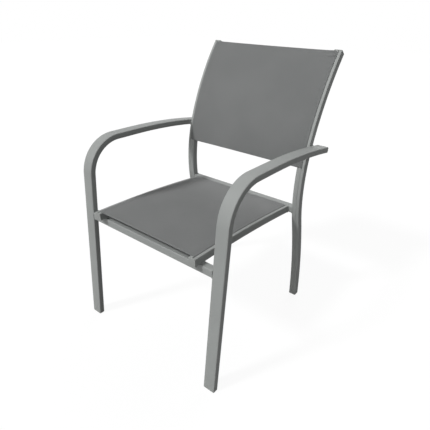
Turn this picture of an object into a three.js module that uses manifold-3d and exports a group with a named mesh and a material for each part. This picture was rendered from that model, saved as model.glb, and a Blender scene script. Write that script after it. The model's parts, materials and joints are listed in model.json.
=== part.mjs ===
// Sling patio chair: a welded aluminium frame with a seat sling and a back sling.
// Millimetres, +Z up. The sitter looks along -Y, and right is +X, as seen from the front.
//
// Each side has a flat tube bent once into front leg and arm, and a slotted extrusion
// bent into rear leg and back upright. Two slotted seat rails lie on the front cross
// tube and end at the rear one. Each sling ends in hems that hold a welt rod, and the
// hems run inside the slots of the rails or the uprights. Below the back sling a cover
// strip closes each upright's slot.

import * as THREE from 'three';
import { mergeVertices } from 'three/addons/utils/BufferGeometryUtils.js';
import Module from 'manifold-3d';

const wasm = await Module();
wasm.setup();

// Clearances, the straight end that a bender's clamp leaves on a tube, and how finely a bend is cut
const fit = 0.3;
const overrun = 10;
const clampLength = 24;
const degreesPerFacet = 4;

// Arm and front leg, one flat tube
const armTubeWidth = 40;
const armTubeDepth = 18;
const armTubeWall = 1.5;
const armTubeCorner = 3;
const legLean = 6.13;
const legLength = 522.7;
const armBendRadius = 121;
const armRise = 0.25;
const armFlatLength = 77.4;
const armCurveTurn = 8.1;
const armTail = 45.2;

// Back upright and rear leg, one slotted extrusion
const uprightWidth = 27;
const uprightDepth = 23;
const widthOverUprights = 500;
const footSpacing = 547.7;
const uprightLean = 1.56;
const rearLegLength = 343.3;
const rearLegTurn = 12.26;
const seatBendLength = 278;
const seatBendTurn = 31.94;
const backLength = 274;
const backTurn = 18.3;

// Seat rails, slotted like the uprights and arched a little
const railWidth = 24;
const railDepth = 24;
const widthOverRails = 418;
const railSetback = 23.8;
const seatFrontHeight = 422.5;
const seatRearHeight = 400.6;
const railRise = 0.15;

// The slot that the rails and uprights share
const extrusionCorner = 2.5;
const extrusionWall = 1.6;
const slotEdge = 9.4;
const slotMouth = 3;
const slotLip = 1.8;
const slotWall = 1.5;

// Cross tubes under the seat, and the round spreader behind the back sling
const crossTubeHeight = 24;
const frontTubeDepth = 23;
const rearTubeDepth = 22;
const rearTubeRise = 2;
const crossTubeWall = 1.5;
const crossTubeCorner = 2.5;
const spreaderRadius = 9.5;
const spreaderWall = 1.5;
const spreaderBow = 30;
const spreaderHeight = 735;

// Slings and the welt rods in their hems
const fabric = 1;
const weltRadius = 2.25;
const seatSlingFrontGap = 7.7;
const seatSlingRearGap = 1.2;
const backSlingBottom = 542;
const backSlingTopGap = 5;

// Cover strips, pressed into the uprights' slots below the back sling
const stripGap = 1;
const stripShoulder = 1;
const stripBarb = 2.2;
const stripBarbDepth = 0.8;
const stripTip = 1;
const stripTail = 2.4;

// Plastic end plugs and foot glides
const plugRim = 3;
const footRim = 4;
const stemLength = 20;
const stemSlack = 0.9;
const ribCount = 3;
const ribThickness = 1.6;

// How many facets go round a corner or a round hole
const cornerFacets = 3;
const slotFacets = 12;
const roundFacets = 12;

// Worked out from the sizes above
const uprightOuter = widthOverUprights / 2;
const uprightInner = uprightOuter - uprightWidth;
const armInner = uprightOuter + fit;
const armOuter = armInner + armTubeWidth;
const railOuter = widthOverRails / 2;
const railInner = railOuter - railWidth;
const slotRadius = weltRadius + fabric + 2 * fit;
const slotCentreDepth = slotLip + Math.sqrt(slotRadius ** 2 - (slotMouth / 2) ** 2);

const rightAngle = 90;
const radians = THREE.MathUtils.degToRad;

// A bent path in the plane x = 0. Its stations are dense in the bends and absent from
// the straights, and a heading is measured from +Z towards +Y. A profile that follows
// it keeps its x along X and its y into the tube, away from the face the path lies on.
class BentPath extends THREE.Curve {
  constructor(stations) {
    super();
    this.stations = stations;
    this.steps = stations.length - 1;
  }

  // The path through stretches of a length each, that may turn by some degrees
  static bent(start, stretches) {
    const stations = [start];
    for (const { length, turn = 0 } of stretches) {
      const from = stations[stations.length - 1];
      const angle = radians(turn);
      const count = Math.max(1, Math.ceil(Math.abs(turn) / degreesPerFacet));
      for (let i = 1; i <= count; i += 1) {
        const part = i / count;
        const heading = from.heading + angle * part;
        const chord = angle ? (2 * length / angle) * Math.sin(angle * part / 2) : length * part;
        const along = (from.heading + heading) / 2;
        stations.push({
          y: from.y + chord * Math.sin(along),
          z: from.z + chord * Math.cos(along),
          heading,
        });
      }
    }
    return new BentPath(stations);
  }

  // This path with more stretches after its end
  extended(stretches) {
    const more = BentPath.bent(this.stations[this.steps], stretches);
    return new BentPath([...this.stations, ...more.stations.slice(1)]);
  }

  // The station at a whole or broken index, on the facet between two stations
  at(index) {
    const low = Math.min(Math.floor(index), this.steps - 1);
    const part = index - low;
    const a = this.stations[low];
    const b = this.stations[low + 1];
    const mix = (key) => THREE.MathUtils.lerp(a[key], b[key], part);
    return { y: mix('y'), z: mix('z'), heading: mix('heading') };
  }

  // The index at which y or z reaches a value
  indexWhere(key, value) {
    const { stations } = this;
    const next = Math.max(1, stations.findIndex((station) => station[key] >= value));
    const a = stations[next - 1][key];
    const b = stations[next][key];
    return next - 1 + (value - a) / (b - a);
  }

  // The index that lies a distance before the path's end
  indexBeforeEnd(distance) {
    let left = distance;
    for (let i = this.steps; i > 0; i -= 1) {
      const a = this.stations[i - 1];
      const b = this.stations[i];
      const length = Math.hypot(b.y - a.y, b.z - a.z);
      if (length >= left) return i - left / length;
      left -= length;
    }
    return 0;
  }

  between(from, to) {
    const inner = this.stations.filter((station, i) => i > from && i < to);
    return new BentPath([this.at(from), ...inner, this.at(to)]);
  }

  // A straight path that leaves the station at an index, along its heading
  straightFrom(index, from, to) {
    const { y, z, heading } = this.at(index);
    const point = (distance) => ({
      y: y + distance * Math.sin(heading),
      z: z + distance * Math.cos(heading),
      heading,
    });
    return new BentPath([point(from), point(to)]);
  }

  getPoint(t) {
    const { y, z } = this.at(t * this.steps);
    return new THREE.Vector3(0, y, z);
  }

  getTangent(t) {
    const { heading } = this.at(t * this.steps);
    return new THREE.Vector3(0, Math.sin(heading), Math.cos(heading));
  }

  getPointAt(t) {
    return this.getPoint(t);
  }

  computeFrenetFrames(segments) {
    const across = new THREE.Vector3(1, 0, 0);
    const tangents = Array.from({ length: segments + 1 }, (_, i) => this.getTangent(i / segments));
    return {
      tangents,
      normals: tangents.map(() => across.clone()),
      binormals: tangents.map((tangent) => tangent.clone().cross(across)),
    };
  }
}

function sweep(shape, path) {
  return new THREE.ExtrudeGeometry(shape, { steps: path.steps, extrudePath: path });
}

// Joining and cutting
function solidOf(geometry) {
  const bare = geometry.clone();
  bare.deleteAttribute('normal');
  bare.deleteAttribute('uv');
  const merged = mergeVertices(bare);
  return new wasm.Manifold(new wasm.Mesh({
    numProp: 3,
    vertProperties: Float32Array.from(merged.attributes.position.array),
    triVerts: Uint32Array.from(merged.index.array),
  }));
}

function geometryOf(solid) {
  const mesh = solid.getMesh();
  const geometry = new THREE.BufferGeometry();
  geometry.setAttribute('position', new THREE.BufferAttribute(Float32Array.from(mesh.vertProperties), 3));
  geometry.setIndex(new THREE.BufferAttribute(Uint32Array.from(mesh.triVerts), 1));
  geometry.computeVertexNormals();
  return geometry;
}

// A swept profile, cut to the part of it that lies in a solid
function sweepWithin(shape, path, solid) {
  return geometryOf(solidOf(sweep(shape, path)).intersect(solid));
}

// A block wider than the chair, between two heights or two depths
const reach = 2 * (footSpacing + legLength);

function block(axis, low, high) {
  const size = new THREE.Vector3(reach, reach, reach);
  const centre = new THREE.Vector3();
  size[axis] = high - low;
  centre[axis] = (low + high) / 2;
  const box = new THREE.BoxGeometry(size.x, size.y, size.z);
  box.translate(centre.x, centre.y, centre.z);
  return solidOf(box);
}

// Outlines. Each is a list of points, and a side of -1 mirrors it to the left.
function arc(centreX, centreY, radius, from, to, facets) {
  return Array.from({ length: facets + 1 }, (_, i) => {
    const angle = THREE.MathUtils.lerp(from, to, i / facets);
    return new THREE.Vector2(centreX + radius * Math.cos(angle), centreY + radius * Math.sin(angle));
  });
}

// A rounded rectangle, with points for a notch in the side at lowY if it has one
function roundedRectangle(lowX, highX, lowY, highY, radius, notch = []) {
  const quarter = Math.PI / 2;
  const corner = (x, y, turn) => arc(x, y, radius, turn * quarter, (turn + 1) * quarter, cornerFacets);
  return [
    ...corner(highX - radius, highY - radius, 0),
    ...corner(lowX + radius, highY - radius, 1),
    ...corner(lowX + radius, lowY + radius, 2),
    ...notch,
    ...corner(highX - radius, lowY + radius, 3),
  ];
}

function outline(points, side = 1) {
  const placed = points.map((point) => new THREE.Vector2(side * point.x, point.y));
  return new THREE.Shape(side < 0 ? placed.reverse() : placed);
}

function withHoles(points, holes, side = 1) {
  const shape = outline(points, side);
  shape.holes = holes.map((hole) => outline(hole, side));
  return shape;
}

// A rectangular tube between two values of x, its outer face on the path
function tubeShape(lowX, highX, depth, wall, corner, side) {
  const outer = roundedRectangle(lowX, highX, 0, depth, corner);
  const inner = roundedRectangle(lowX + wall, highX - wall, wall, depth - wall, corner - wall);
  return withHoles(outer, [inner], side);
}

// The slotted extrusion: a hollow profile whose front face has a narrow mouth that
// opens into a round slot, with the hollow running round the slot's wall
function slottedShape(outerX, width, depth, side) {
  const innerX = outerX - width;
  const slotX = outerX - slotEdge - slotMouth / 2;
  const mouthAngle = Math.asin(slotMouth / 2 / slotRadius);
  const up = -Math.PI / 2;
  const mouth = [
    new THREE.Vector2(slotX - slotMouth / 2, 0),
    ...arc(slotX, slotCentreDepth, slotRadius, up - mouthAngle, up + mouthAngle - 2 * Math.PI, slotFacets),
    new THREE.Vector2(slotX + slotMouth / 2, 0),
  ];
  const wallRadius = slotRadius + slotWall;
  const wallAngle = Math.acos((slotCentreDepth - slotLip) / wallRadius);
  const hollow = [
    new THREE.Vector2(innerX + extrusionWall, depth - extrusionWall),
    new THREE.Vector2(innerX + extrusionWall, slotLip),
    ...arc(slotX, slotCentreDepth, wallRadius, up - wallAngle, up + wallAngle - 2 * Math.PI, roundFacets),
    new THREE.Vector2(outerX - extrusionWall, slotLip),
    new THREE.Vector2(outerX - extrusionWall, depth - extrusionWall),
  ];
  return withHoles(roundedRectangle(innerX, outerX, 0, depth, extrusionCorner, mouth), [hollow], side);
}

// The part of the hollow that lies behind the slot's wall, where a plug's stem goes
function behindSlot(outerX, width, depth, slack) {
  const front = slotCentreDepth + slotRadius + slotWall;
  const edge = extrusionWall + slack;
  return [
    new THREE.Vector2(outerX - width + edge, front + slack),
    new THREE.Vector2(outerX - edge, front + slack),
    new THREE.Vector2(outerX - edge, depth - edge),
    new THREE.Vector2(outerX - width + edge, depth - edge),
  ];
}

function insideTube(lowX, highX, depth, wall, corner, slack) {
  const edge = wall + slack;
  return roundedRectangle(lowX + edge, highX - edge, edge, depth - edge, corner - edge);
}

// A sling's section: the flat sheet, and at each side a hem that drops through the
// slot's mouth against its inner lip and goes round the welt rod
function slingShape(outerX) {
  const slotX = outerX - slotEdge - slotMouth / 2;
  const hemInner = slotX - slotMouth / 2 + fit;
  const hemOuter = hemInner + fabric;
  const hemRadius = weltRadius + fit + fabric;
  const fromAngle = -Math.acos((hemOuter - slotX) / hemRadius);
  const toAngle = 2 * Math.PI - Math.acos((hemInner - slotX) / hemRadius);
  const right = [
    ...arc(hemOuter - fabric, -fit, fabric, -Math.PI / 2, 0, cornerFacets),
    ...arc(slotX, slotCentreDepth, hemRadius, fromAngle, toAngle, slotFacets),
    new THREE.Vector2(hemInner, -fit),
  ];
  const left = right.map((point) => new THREE.Vector2(-point.x, point.y)).reverse();
  const eye = (x) => arc(x, slotCentreDepth, weltRadius + fit, 0, 2 * Math.PI, roundFacets).slice(1);
  return withHoles([...right, ...left], [eye(slotX), eye(-slotX)]);
}

function weltShape(outerX, side) {
  const slotX = outerX - slotEdge - slotMouth / 2;
  return outline(arc(slotX, slotCentreDepth, weltRadius, 0, 2 * Math.PI, roundFacets).slice(1), side);
}

// A cover strip: a head that fills the slot's mouth, flush with the face, and a barb
// behind the lips that tapers to its tip
function stripShape(outerX, side) {
  const slotX = outerX - slotEdge - slotMouth / 2;
  const shoulder = slotLip + stripShoulder;
  const right = [
    new THREE.Vector2(slotMouth / 2 - fit, 0),
    new THREE.Vector2(slotMouth / 2 - fit, shoulder),
    new THREE.Vector2(stripBarb, shoulder),
    new THREE.Vector2(stripBarb, shoulder + stripBarbDepth),
    new THREE.Vector2(stripTip, shoulder + stripBarbDepth + stripTail),
  ];
  const left = right.map((point) => new THREE.Vector2(-point.x, point.y)).reverse();
  const middle = new THREE.Vector2(slotX, 0);
  return outline([...right, ...left].map((point) => point.add(middle)), side);
}

// A plug: a rim as large as the tube, and a stem with ribs that grip inside it.
// The rim and stem follow straight paths that start where the tube ends.
function plug(rimShape, coreShape, ribShape, straight) {
  const overlap = fit;
  const inward = (from, to) => straight(-to, -from);
  let solid = solidOf(sweep(rimShape, straight(fit, plugRim)));
  solid = solid.add(solidOf(sweep(coreShape, inward(-fit - overlap, stemLength))));
  for (let i = 1; i <= ribCount; i += 1) {
    const place = (stemLength * i) / (ribCount + 1);
    solid = solid.add(solidOf(sweep(ribShape, inward(place, place + ribThickness))));
  }
  return geometryOf(solid);
}

// A foot glide: its rim is flat on the floor, and its stem goes up inside the leg
function footGlide(rimShape, coreShape, ribShape, path) {
  const cut = (shape, low, high) => solidOf(sweep(shape, path)).intersect(block('z', low, high));
  let solid = cut(rimShape, 0, footRim);
  solid = solid.add(cut(coreShape, footRim - fit, footRim + stemLength));
  for (let i = 1; i <= ribCount; i += 1) {
    const place = footRim + (stemLength * i) / (ribCount + 1);
    solid = solid.add(cut(ribShape, place, place + ribThickness));
  }
  return geometryOf(solid);
}

// Paths
function footed(heading, y, stretches) {
  const start = {
    y: y - overrun * Math.sin(heading),
    z: -overrun * Math.cos(heading),
    heading,
  };
  return BentPath.bent(start, [{ length: overrun }, ...stretches]);
}

const uprightPath = footed(radians(-uprightLean), footSpacing, [
  { length: rearLegLength, turn: -rearLegTurn },
  { length: seatBendLength, turn: seatBendTurn },
  { length: backLength, turn: backTurn },
  { length: clampLength },
]);
const rearLegStub = uprightPath.between(0, uprightPath.indexWhere('z', footRim + 2 * stemLength));

// The arm curves down from its flat stretch, past the upright, by as much as its tail
const armBendTurn = rightAngle - armRise - legLean;
const legAndBend = footed(radians(legLean), 0, [
  { length: legLength },
  { length: armBendRadius * radians(armBendTurn), turn: armBendTurn },
  { length: armFlatLength },
]);
const elbow = legAndBend.at(legAndBend.steps);
const armRun = uprightPath.at(uprightPath.indexWhere('z', elbow.z)).y + armTail - elbow.y;
const curveTurn = radians(armCurveTurn);
const curveRun = armRun - clampLength * Math.sin(elbow.heading + curveTurn);
const curveChord = curveRun / Math.sin(elbow.heading + curveTurn / 2);
const armPath = legAndBend.extended([
  { length: (curveChord * curveTurn) / 2 / Math.sin(curveTurn / 2), turn: armCurveTurn },
  { length: clampLength },
]);
const legStub = armPath.between(0, armPath.indexWhere('z', footRim + 2 * stemLength));

// The rear cross tube closes the rails' ends, and lies midway in the uprights' depth
const rearTubeTop = seatRearHeight + rearTubeRise;
const rearTubeStation = uprightPath.at(uprightPath.indexWhere('z', rearTubeTop - crossTubeHeight / 2));
const rearTubeFront = rearTubeStation.y + (uprightDepth - rearTubeDepth) / 2;

// A seat rail starts straight and then arches down to the rear cross tube
const railHeading = Math.PI / 2 - radians(railRise);
const archRun = rearTubeFront - railSetback - plugRim - clampLength * Math.sin(railHeading);
const archDrop = seatFrontHeight + clampLength * Math.cos(railHeading) - seatRearHeight;
const archTurn = 2 * (Math.atan2(archRun, -archDrop) - railHeading);
const archLength = (Math.hypot(archRun, archDrop) * archTurn) / 2 / Math.sin(archTurn / 2);
const railPath = BentPath.bent(
  { y: railSetback + plugRim, z: seatFrontHeight, heading: railHeading },
  [
    { length: clampLength },
    { length: archLength, turn: THREE.MathUtils.radToDeg(archTurn) },
    { length: overrun },
  ],
);

// Finishes
function finish(color, roughness, metalness) {
  return () => new THREE.MeshStandardMaterial({ color, roughness, metalness });
}

const framePaint = finish(0x8f9190, 0.5, 0.2);
const slingCloth = finish(0x6f7272, 0.85, 0);
const plugPlastic = finish(0x868887, 0.6, 0);
const weltPlastic = finish(0x4c4e4e, 0.7, 0);

const chair = new THREE.Group();

function add(name, geometry, material) {
  const mesh = new THREE.Mesh(geometry, material());
  mesh.name = name;
  chair.add(mesh);
  return mesh;
}

const sides = [
  { name: 'left', side: -1 },
  { name: 'right', side: 1 },
];

// Arm tubes: front leg and arm, with a plug behind and a glide below
const aboveFoot = block('z', footRim + fit, reach);
for (const { name, side } of sides) {
  const section = tubeShape(armInner, armOuter, armTubeDepth, armTubeWall, armTubeCorner, side);
  const face = outline(roundedRectangle(armInner, armOuter, 0, armTubeDepth, armTubeCorner), side);
  const hollow = (slack) => outline(
    insideTube(armInner, armOuter, armTubeDepth, armTubeWall, armTubeCorner, slack),
    side,
  );
  const behind = (from, to) => armPath.straightFrom(armPath.steps, from, to);
  add(`${name}_arm_leg_tube`, sweepWithin(section, armPath, aboveFoot), framePaint);
  add(`${name}_arm_plug`, plug(face, hollow(stemSlack), hollow(fit), behind), plugPlastic);
  add(`${name}_front_foot`, footGlide(face, hollow(stemSlack), hollow(fit), legStub), plugPlastic);
}

// Uprights: rear leg and back post, with a plug on top and a glide below
for (const { name, side } of sides) {
  const section = slottedShape(uprightOuter, uprightWidth, uprightDepth, side);
  const face = outline(roundedRectangle(uprightInner, uprightOuter, 0, uprightDepth, extrusionCorner), side);
  const hollow = (slack) => outline(behindSlot(uprightOuter, uprightWidth, uprightDepth, slack), side);
  const above = (from, to) => uprightPath.straightFrom(uprightPath.steps, from, to);
  add(`${name}_upright`, sweepWithin(section, uprightPath, aboveFoot), framePaint);
  add(`${name}_top_plug`, plug(face, hollow(stemSlack), hollow(fit), above), plugPlastic);
  add(`${name}_rear_foot`, footGlide(face, hollow(stemSlack), hollow(fit), rearLegStub), plugPlastic);
}

// Cover strips, from the glides up to the back sling
const stripPath = uprightPath.between(0, uprightPath.indexWhere('z', backSlingBottom - stripGap));
for (const { name, side } of sides) {
  add(`${name}_slot_strip`, sweepWithin(stripShape(uprightOuter, side), stripPath, aboveFoot), plugPlastic);
}

// Seat rails: their rear ends are cut plumb against the rear cross tube
const beforeRearTube = block('y', -reach, rearTubeFront - fit);
for (const { name, side } of sides) {
  const section = slottedShape(railOuter, railWidth, railDepth, side);
  const face = outline(roundedRectangle(railInner, railOuter, 0, railDepth, extrusionCorner), side);
  const hollow = (slack) => outline(behindSlot(railOuter, railWidth, railDepth, slack), side);
  const ahead = (from, to) => railPath.straightFrom(0, -to, -from);
  add(`${name}_seat_rail`, sweepWithin(section, railPath, beforeRearTube), framePaint);
  add(`${name}_rail_plug`, plug(face, hollow(stemSlack), hollow(fit), ahead), plugPlastic);
}

// Cross tubes: a rectangular tube along X, given by its front, depth, top and half length
function crossTube(front, depth, top, halfLength) {
  const section = (wall) => roundedRectangle(
    front + wall,
    front + depth - wall,
    wall,
    crossTubeHeight - wall,
    crossTubeCorner - wall,
  );
  const shape = withHoles(section(0), [section(crossTubeWall)]);
  const tube = new THREE.ExtrudeGeometry(shape, { depth: 2 * halfLength, bevelEnabled: false });
  tube.translate(0, 0, -halfLength);
  tube.applyMatrix4(new THREE.Matrix4().makeBasis(
    new THREE.Vector3(0, 1, 0),
    new THREE.Vector3(0, 0, 1),
    new THREE.Vector3(1, 0, 0),
  ));
  tube.translate(0, 0, top - crossTubeHeight);
  return tube;
}

const frontTubeTop = seatFrontHeight - railDepth - fit;
const frontTubeFront = Math.tan(radians(legLean)) * (frontTubeTop - crossTubeHeight / 2);
const frontTube = crossTube(frontTubeFront, frontTubeDepth, frontTubeTop, armInner - fit);
const rearTube = crossTube(rearTubeFront, rearTubeDepth, rearTubeTop, uprightInner - fit);
add('front_cross_tube', frontTube, framePaint);
add('rear_cross_tube', rearTube, framePaint);

// The spreader keeps the uprights apart against the pull of the back sling. It bows
// to the rear, so that a leaning back doesn't touch it.
const spreaderHalf = uprightInner - fit;
const bowRadius = spreaderHalf ** 2 / (2 * spreaderBow) + spreaderBow / 2;
const bowAngle = Math.asin(spreaderHalf / bowRadius) + overrun / bowRadius;
const bowPath = BentPath.bent(
  {
    y: bowRadius * (Math.cos(bowAngle) - Math.cos(bowAngle - overrun / bowRadius)),
    z: -bowRadius * Math.sin(bowAngle),
    heading: bowAngle,
  },
  [{ length: 2 * bowRadius * bowAngle, turn: -2 * THREE.MathUtils.radToDeg(bowAngle) }],
);
const circle = (radius) => arc(0, 0, radius, 0, 2 * Math.PI, roundFacets).slice(1);
const spreaderShape = withHoles(circle(spreaderRadius), [circle(spreaderRadius - spreaderWall)]);
const betweenUprights = block('z', -spreaderHalf, spreaderHalf);
const spreader = add('back_spreader', sweepWithin(spreaderShape, bowPath, betweenUprights), framePaint);
const carrier = uprightPath.at(uprightPath.indexWhere('z', spreaderHeight));
const into = new THREE.Vector3(0, Math.cos(carrier.heading), -Math.sin(carrier.heading));
const upward = new THREE.Vector3(0, Math.sin(carrier.heading), Math.cos(carrier.heading));
const across = new THREE.Vector3(1, 0, 0);
const spreaderPlace = new THREE.Matrix4().makeBasis(upward.clone().negate(), into, across);
spreaderPlace.setPosition(new THREE.Vector3(0, carrier.y, carrier.z).addScaledVector(into, uprightDepth / 2));
spreader.applyMatrix4(spreaderPlace);

// Slings and their welt rods, each on the stretch of rail or upright that it covers
const slings = [
  {
    name: 'seat',
    outerX: railOuter,
    path: railPath.between(
      railPath.indexWhere('y', railSetback + seatSlingFrontGap),
      railPath.indexWhere('y', rearTubeFront - seatSlingRearGap),
    ),
  },
  {
    name: 'back',
    outerX: uprightOuter,
    path: uprightPath.between(
      uprightPath.indexWhere('z', backSlingBottom),
      uprightPath.indexBeforeEnd(backSlingTopGap - plugRim),
    ),
  },
];
for (const { name, outerX, path } of slings) {
  add(`${name}_sling`, sweep(slingShape(outerX), path), slingCloth);
  for (const { name: sideName, side } of sides) {
    add(`${sideName}_${name}_welt`, sweep(weltShape(outerX, side), path), weltPlastic);
  }
}

// The origin is on the floor, at the middle of the chair's outline
const bounds = new THREE.Box3().setFromObject(chair);
chair.position.y = -(bounds.min.y + bounds.max.y) / 2;

export default chair;
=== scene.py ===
# %% [markdown]
# # A sling patio chair
#
# The packed CAD model comes first, as a fixed frame: every size and place below is in metres and
# in its coordinates, with Z up, the front towards -Y and the floor at Z = 0. The chair is one
# rigid body, so every finished piece rides on the body "root", and it takes the place of the CAD
# node that it shows more finely. Weld beads and stitches have no node, and are extra.
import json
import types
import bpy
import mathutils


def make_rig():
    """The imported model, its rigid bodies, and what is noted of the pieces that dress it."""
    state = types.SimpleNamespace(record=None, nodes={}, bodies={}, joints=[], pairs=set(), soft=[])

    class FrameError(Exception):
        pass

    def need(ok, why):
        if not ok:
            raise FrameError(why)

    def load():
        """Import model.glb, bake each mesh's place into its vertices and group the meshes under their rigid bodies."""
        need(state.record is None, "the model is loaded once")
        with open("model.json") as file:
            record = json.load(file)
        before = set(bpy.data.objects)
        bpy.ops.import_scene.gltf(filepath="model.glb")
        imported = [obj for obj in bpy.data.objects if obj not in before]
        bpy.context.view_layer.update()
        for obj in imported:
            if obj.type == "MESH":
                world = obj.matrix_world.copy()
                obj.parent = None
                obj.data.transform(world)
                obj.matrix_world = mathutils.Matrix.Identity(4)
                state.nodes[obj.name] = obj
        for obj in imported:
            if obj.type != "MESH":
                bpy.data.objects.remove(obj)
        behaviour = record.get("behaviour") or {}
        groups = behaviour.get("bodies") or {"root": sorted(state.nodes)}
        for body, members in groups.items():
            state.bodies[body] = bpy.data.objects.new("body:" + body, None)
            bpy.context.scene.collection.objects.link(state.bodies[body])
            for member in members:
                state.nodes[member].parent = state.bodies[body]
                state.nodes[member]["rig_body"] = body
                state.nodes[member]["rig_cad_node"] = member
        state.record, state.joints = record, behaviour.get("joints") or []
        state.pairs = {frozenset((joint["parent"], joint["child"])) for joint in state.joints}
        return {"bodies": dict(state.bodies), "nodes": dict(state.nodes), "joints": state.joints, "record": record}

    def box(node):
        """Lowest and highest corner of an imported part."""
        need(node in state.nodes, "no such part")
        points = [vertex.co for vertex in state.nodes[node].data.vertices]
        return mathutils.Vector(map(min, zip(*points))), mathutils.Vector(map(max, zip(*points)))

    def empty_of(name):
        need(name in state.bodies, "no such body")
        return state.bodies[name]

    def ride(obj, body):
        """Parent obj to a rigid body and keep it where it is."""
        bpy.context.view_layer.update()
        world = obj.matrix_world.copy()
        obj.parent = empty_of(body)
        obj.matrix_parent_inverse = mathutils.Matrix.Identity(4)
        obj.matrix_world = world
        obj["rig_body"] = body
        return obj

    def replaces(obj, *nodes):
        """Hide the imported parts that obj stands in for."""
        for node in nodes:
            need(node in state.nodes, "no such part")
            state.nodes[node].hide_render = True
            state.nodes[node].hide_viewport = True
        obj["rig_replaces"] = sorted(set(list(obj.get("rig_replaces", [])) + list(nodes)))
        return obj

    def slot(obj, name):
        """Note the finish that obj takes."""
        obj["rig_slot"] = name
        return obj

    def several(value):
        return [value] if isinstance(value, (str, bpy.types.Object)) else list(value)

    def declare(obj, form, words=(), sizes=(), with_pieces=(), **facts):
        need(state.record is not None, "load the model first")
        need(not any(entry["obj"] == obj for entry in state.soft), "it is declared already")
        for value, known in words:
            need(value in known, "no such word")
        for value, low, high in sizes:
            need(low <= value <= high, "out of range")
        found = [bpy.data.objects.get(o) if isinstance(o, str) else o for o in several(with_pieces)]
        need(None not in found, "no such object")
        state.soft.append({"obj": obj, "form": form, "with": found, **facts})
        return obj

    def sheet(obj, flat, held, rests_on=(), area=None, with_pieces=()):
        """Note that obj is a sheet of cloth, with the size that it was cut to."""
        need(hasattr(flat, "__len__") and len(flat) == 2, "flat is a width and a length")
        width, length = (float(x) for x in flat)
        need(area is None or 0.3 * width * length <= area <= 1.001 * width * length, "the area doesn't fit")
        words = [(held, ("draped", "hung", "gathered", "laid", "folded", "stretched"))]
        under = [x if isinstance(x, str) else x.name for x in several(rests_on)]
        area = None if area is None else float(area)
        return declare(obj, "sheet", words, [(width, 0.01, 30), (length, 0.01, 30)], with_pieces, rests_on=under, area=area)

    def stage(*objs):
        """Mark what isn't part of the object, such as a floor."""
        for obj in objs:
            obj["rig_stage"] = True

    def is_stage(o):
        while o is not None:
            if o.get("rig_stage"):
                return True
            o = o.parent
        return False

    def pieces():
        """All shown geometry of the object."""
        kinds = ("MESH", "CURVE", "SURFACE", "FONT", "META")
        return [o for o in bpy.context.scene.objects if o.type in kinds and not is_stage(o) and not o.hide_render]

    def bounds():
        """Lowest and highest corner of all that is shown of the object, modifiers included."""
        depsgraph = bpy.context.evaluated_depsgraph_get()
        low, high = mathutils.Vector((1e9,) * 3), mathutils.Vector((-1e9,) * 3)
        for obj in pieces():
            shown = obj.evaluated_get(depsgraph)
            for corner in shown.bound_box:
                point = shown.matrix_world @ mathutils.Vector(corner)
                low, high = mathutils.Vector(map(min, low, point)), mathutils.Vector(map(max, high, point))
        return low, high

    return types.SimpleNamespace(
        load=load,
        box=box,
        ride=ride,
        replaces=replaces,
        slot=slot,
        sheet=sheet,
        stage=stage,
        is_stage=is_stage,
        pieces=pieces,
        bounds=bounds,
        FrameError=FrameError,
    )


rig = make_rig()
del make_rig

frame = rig.load()

import json
import math

import bmesh
import bpy
import numpy as np
from mathutils import Matrix, Vector

cad_low, cad_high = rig.bounds()
MM = 0.001
print("CAD nodes:", len(frame["nodes"]), "size:", [round(x, 4) for x in cad_high - cad_low])


# %% New objects and meshes
def linked(name, data):
    """A new object in the scene."""
    obj = bpy.data.objects.new(name, data)
    bpy.context.scene.collection.objects.link(obj)
    return obj


def mesh_from(name, points, edges=(), faces=()):
    mesh = bpy.data.meshes.new(name)
    mesh.from_pydata(points, edges, faces)
    return mesh


# %% [markdown]
# ## The eye
#
# The picture was taken from the front right, a little above the chair, with the camera rolled a
# touch. Three angles, in radians, and a place give that view. A small shift keeps the chair where
# the picture has it, and the image is taken to be square.

# %% Camera
EYE = Vector((0.76739, -0.90262, 0.97268))
AZIMUTH, ELEVATION, ROLL = 0.6443, 0.52227, 0.027254
IMAGE_WIDTH = 430
FOCAL_PIXELS = 384.52
SENSOR = 36.0
SHIFT_PIXELS = (-17, 17)

back = Vector((
    math.sin(AZIMUTH) * math.cos(ELEVATION),
    -math.cos(AZIMUTH) * math.cos(ELEVATION),
    math.sin(ELEVATION),
))
right = Vector((math.cos(AZIMUTH), math.sin(AZIMUTH), 0))
up = back.cross(right)
rolled_right = right * math.cos(ROLL) + up * math.sin(ROLL)
rolled_up = up * math.cos(ROLL) - right * math.sin(ROLL)

camera = linked("camera", bpy.data.cameras.new("camera"))
turn = Matrix((rolled_right, rolled_up, back)).transposed()
camera.matrix_world = Matrix.Translation(EYE) @ turn.to_4x4()
camera.data.sensor_width = SENSOR
camera.data.lens = FOCAL_PIXELS / IMAGE_WIDTH * SENSOR
camera.data.shift_x = SHIFT_PIXELS[0] / IMAGE_WIDTH
camera.data.shift_y = SHIFT_PIXELS[1] / IMAGE_WIDTH
bpy.context.scene.camera = camera
print("lens:", round(camera.data.lens, 2), "mm")

# %% [markdown]
# ## A wrapper for nodes
#
# Shader and geometry trees hold the same Math node, so one class can write both. A `Value` is an
# output socket that Python's operators work on: `1 - mask` adds a Subtract node. `Tree.add` makes
# any other node from its type, its settings, which are set first, and what its inputs get.

# %% Value and Tree
def as_math(operation, reflected=False):
    """A Python operator that adds one Math node."""
    def operate(value, other):
        first, second = (other, value) if reflected else (value, other)
        return value.math(operation, first, second)
    return operate


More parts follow.
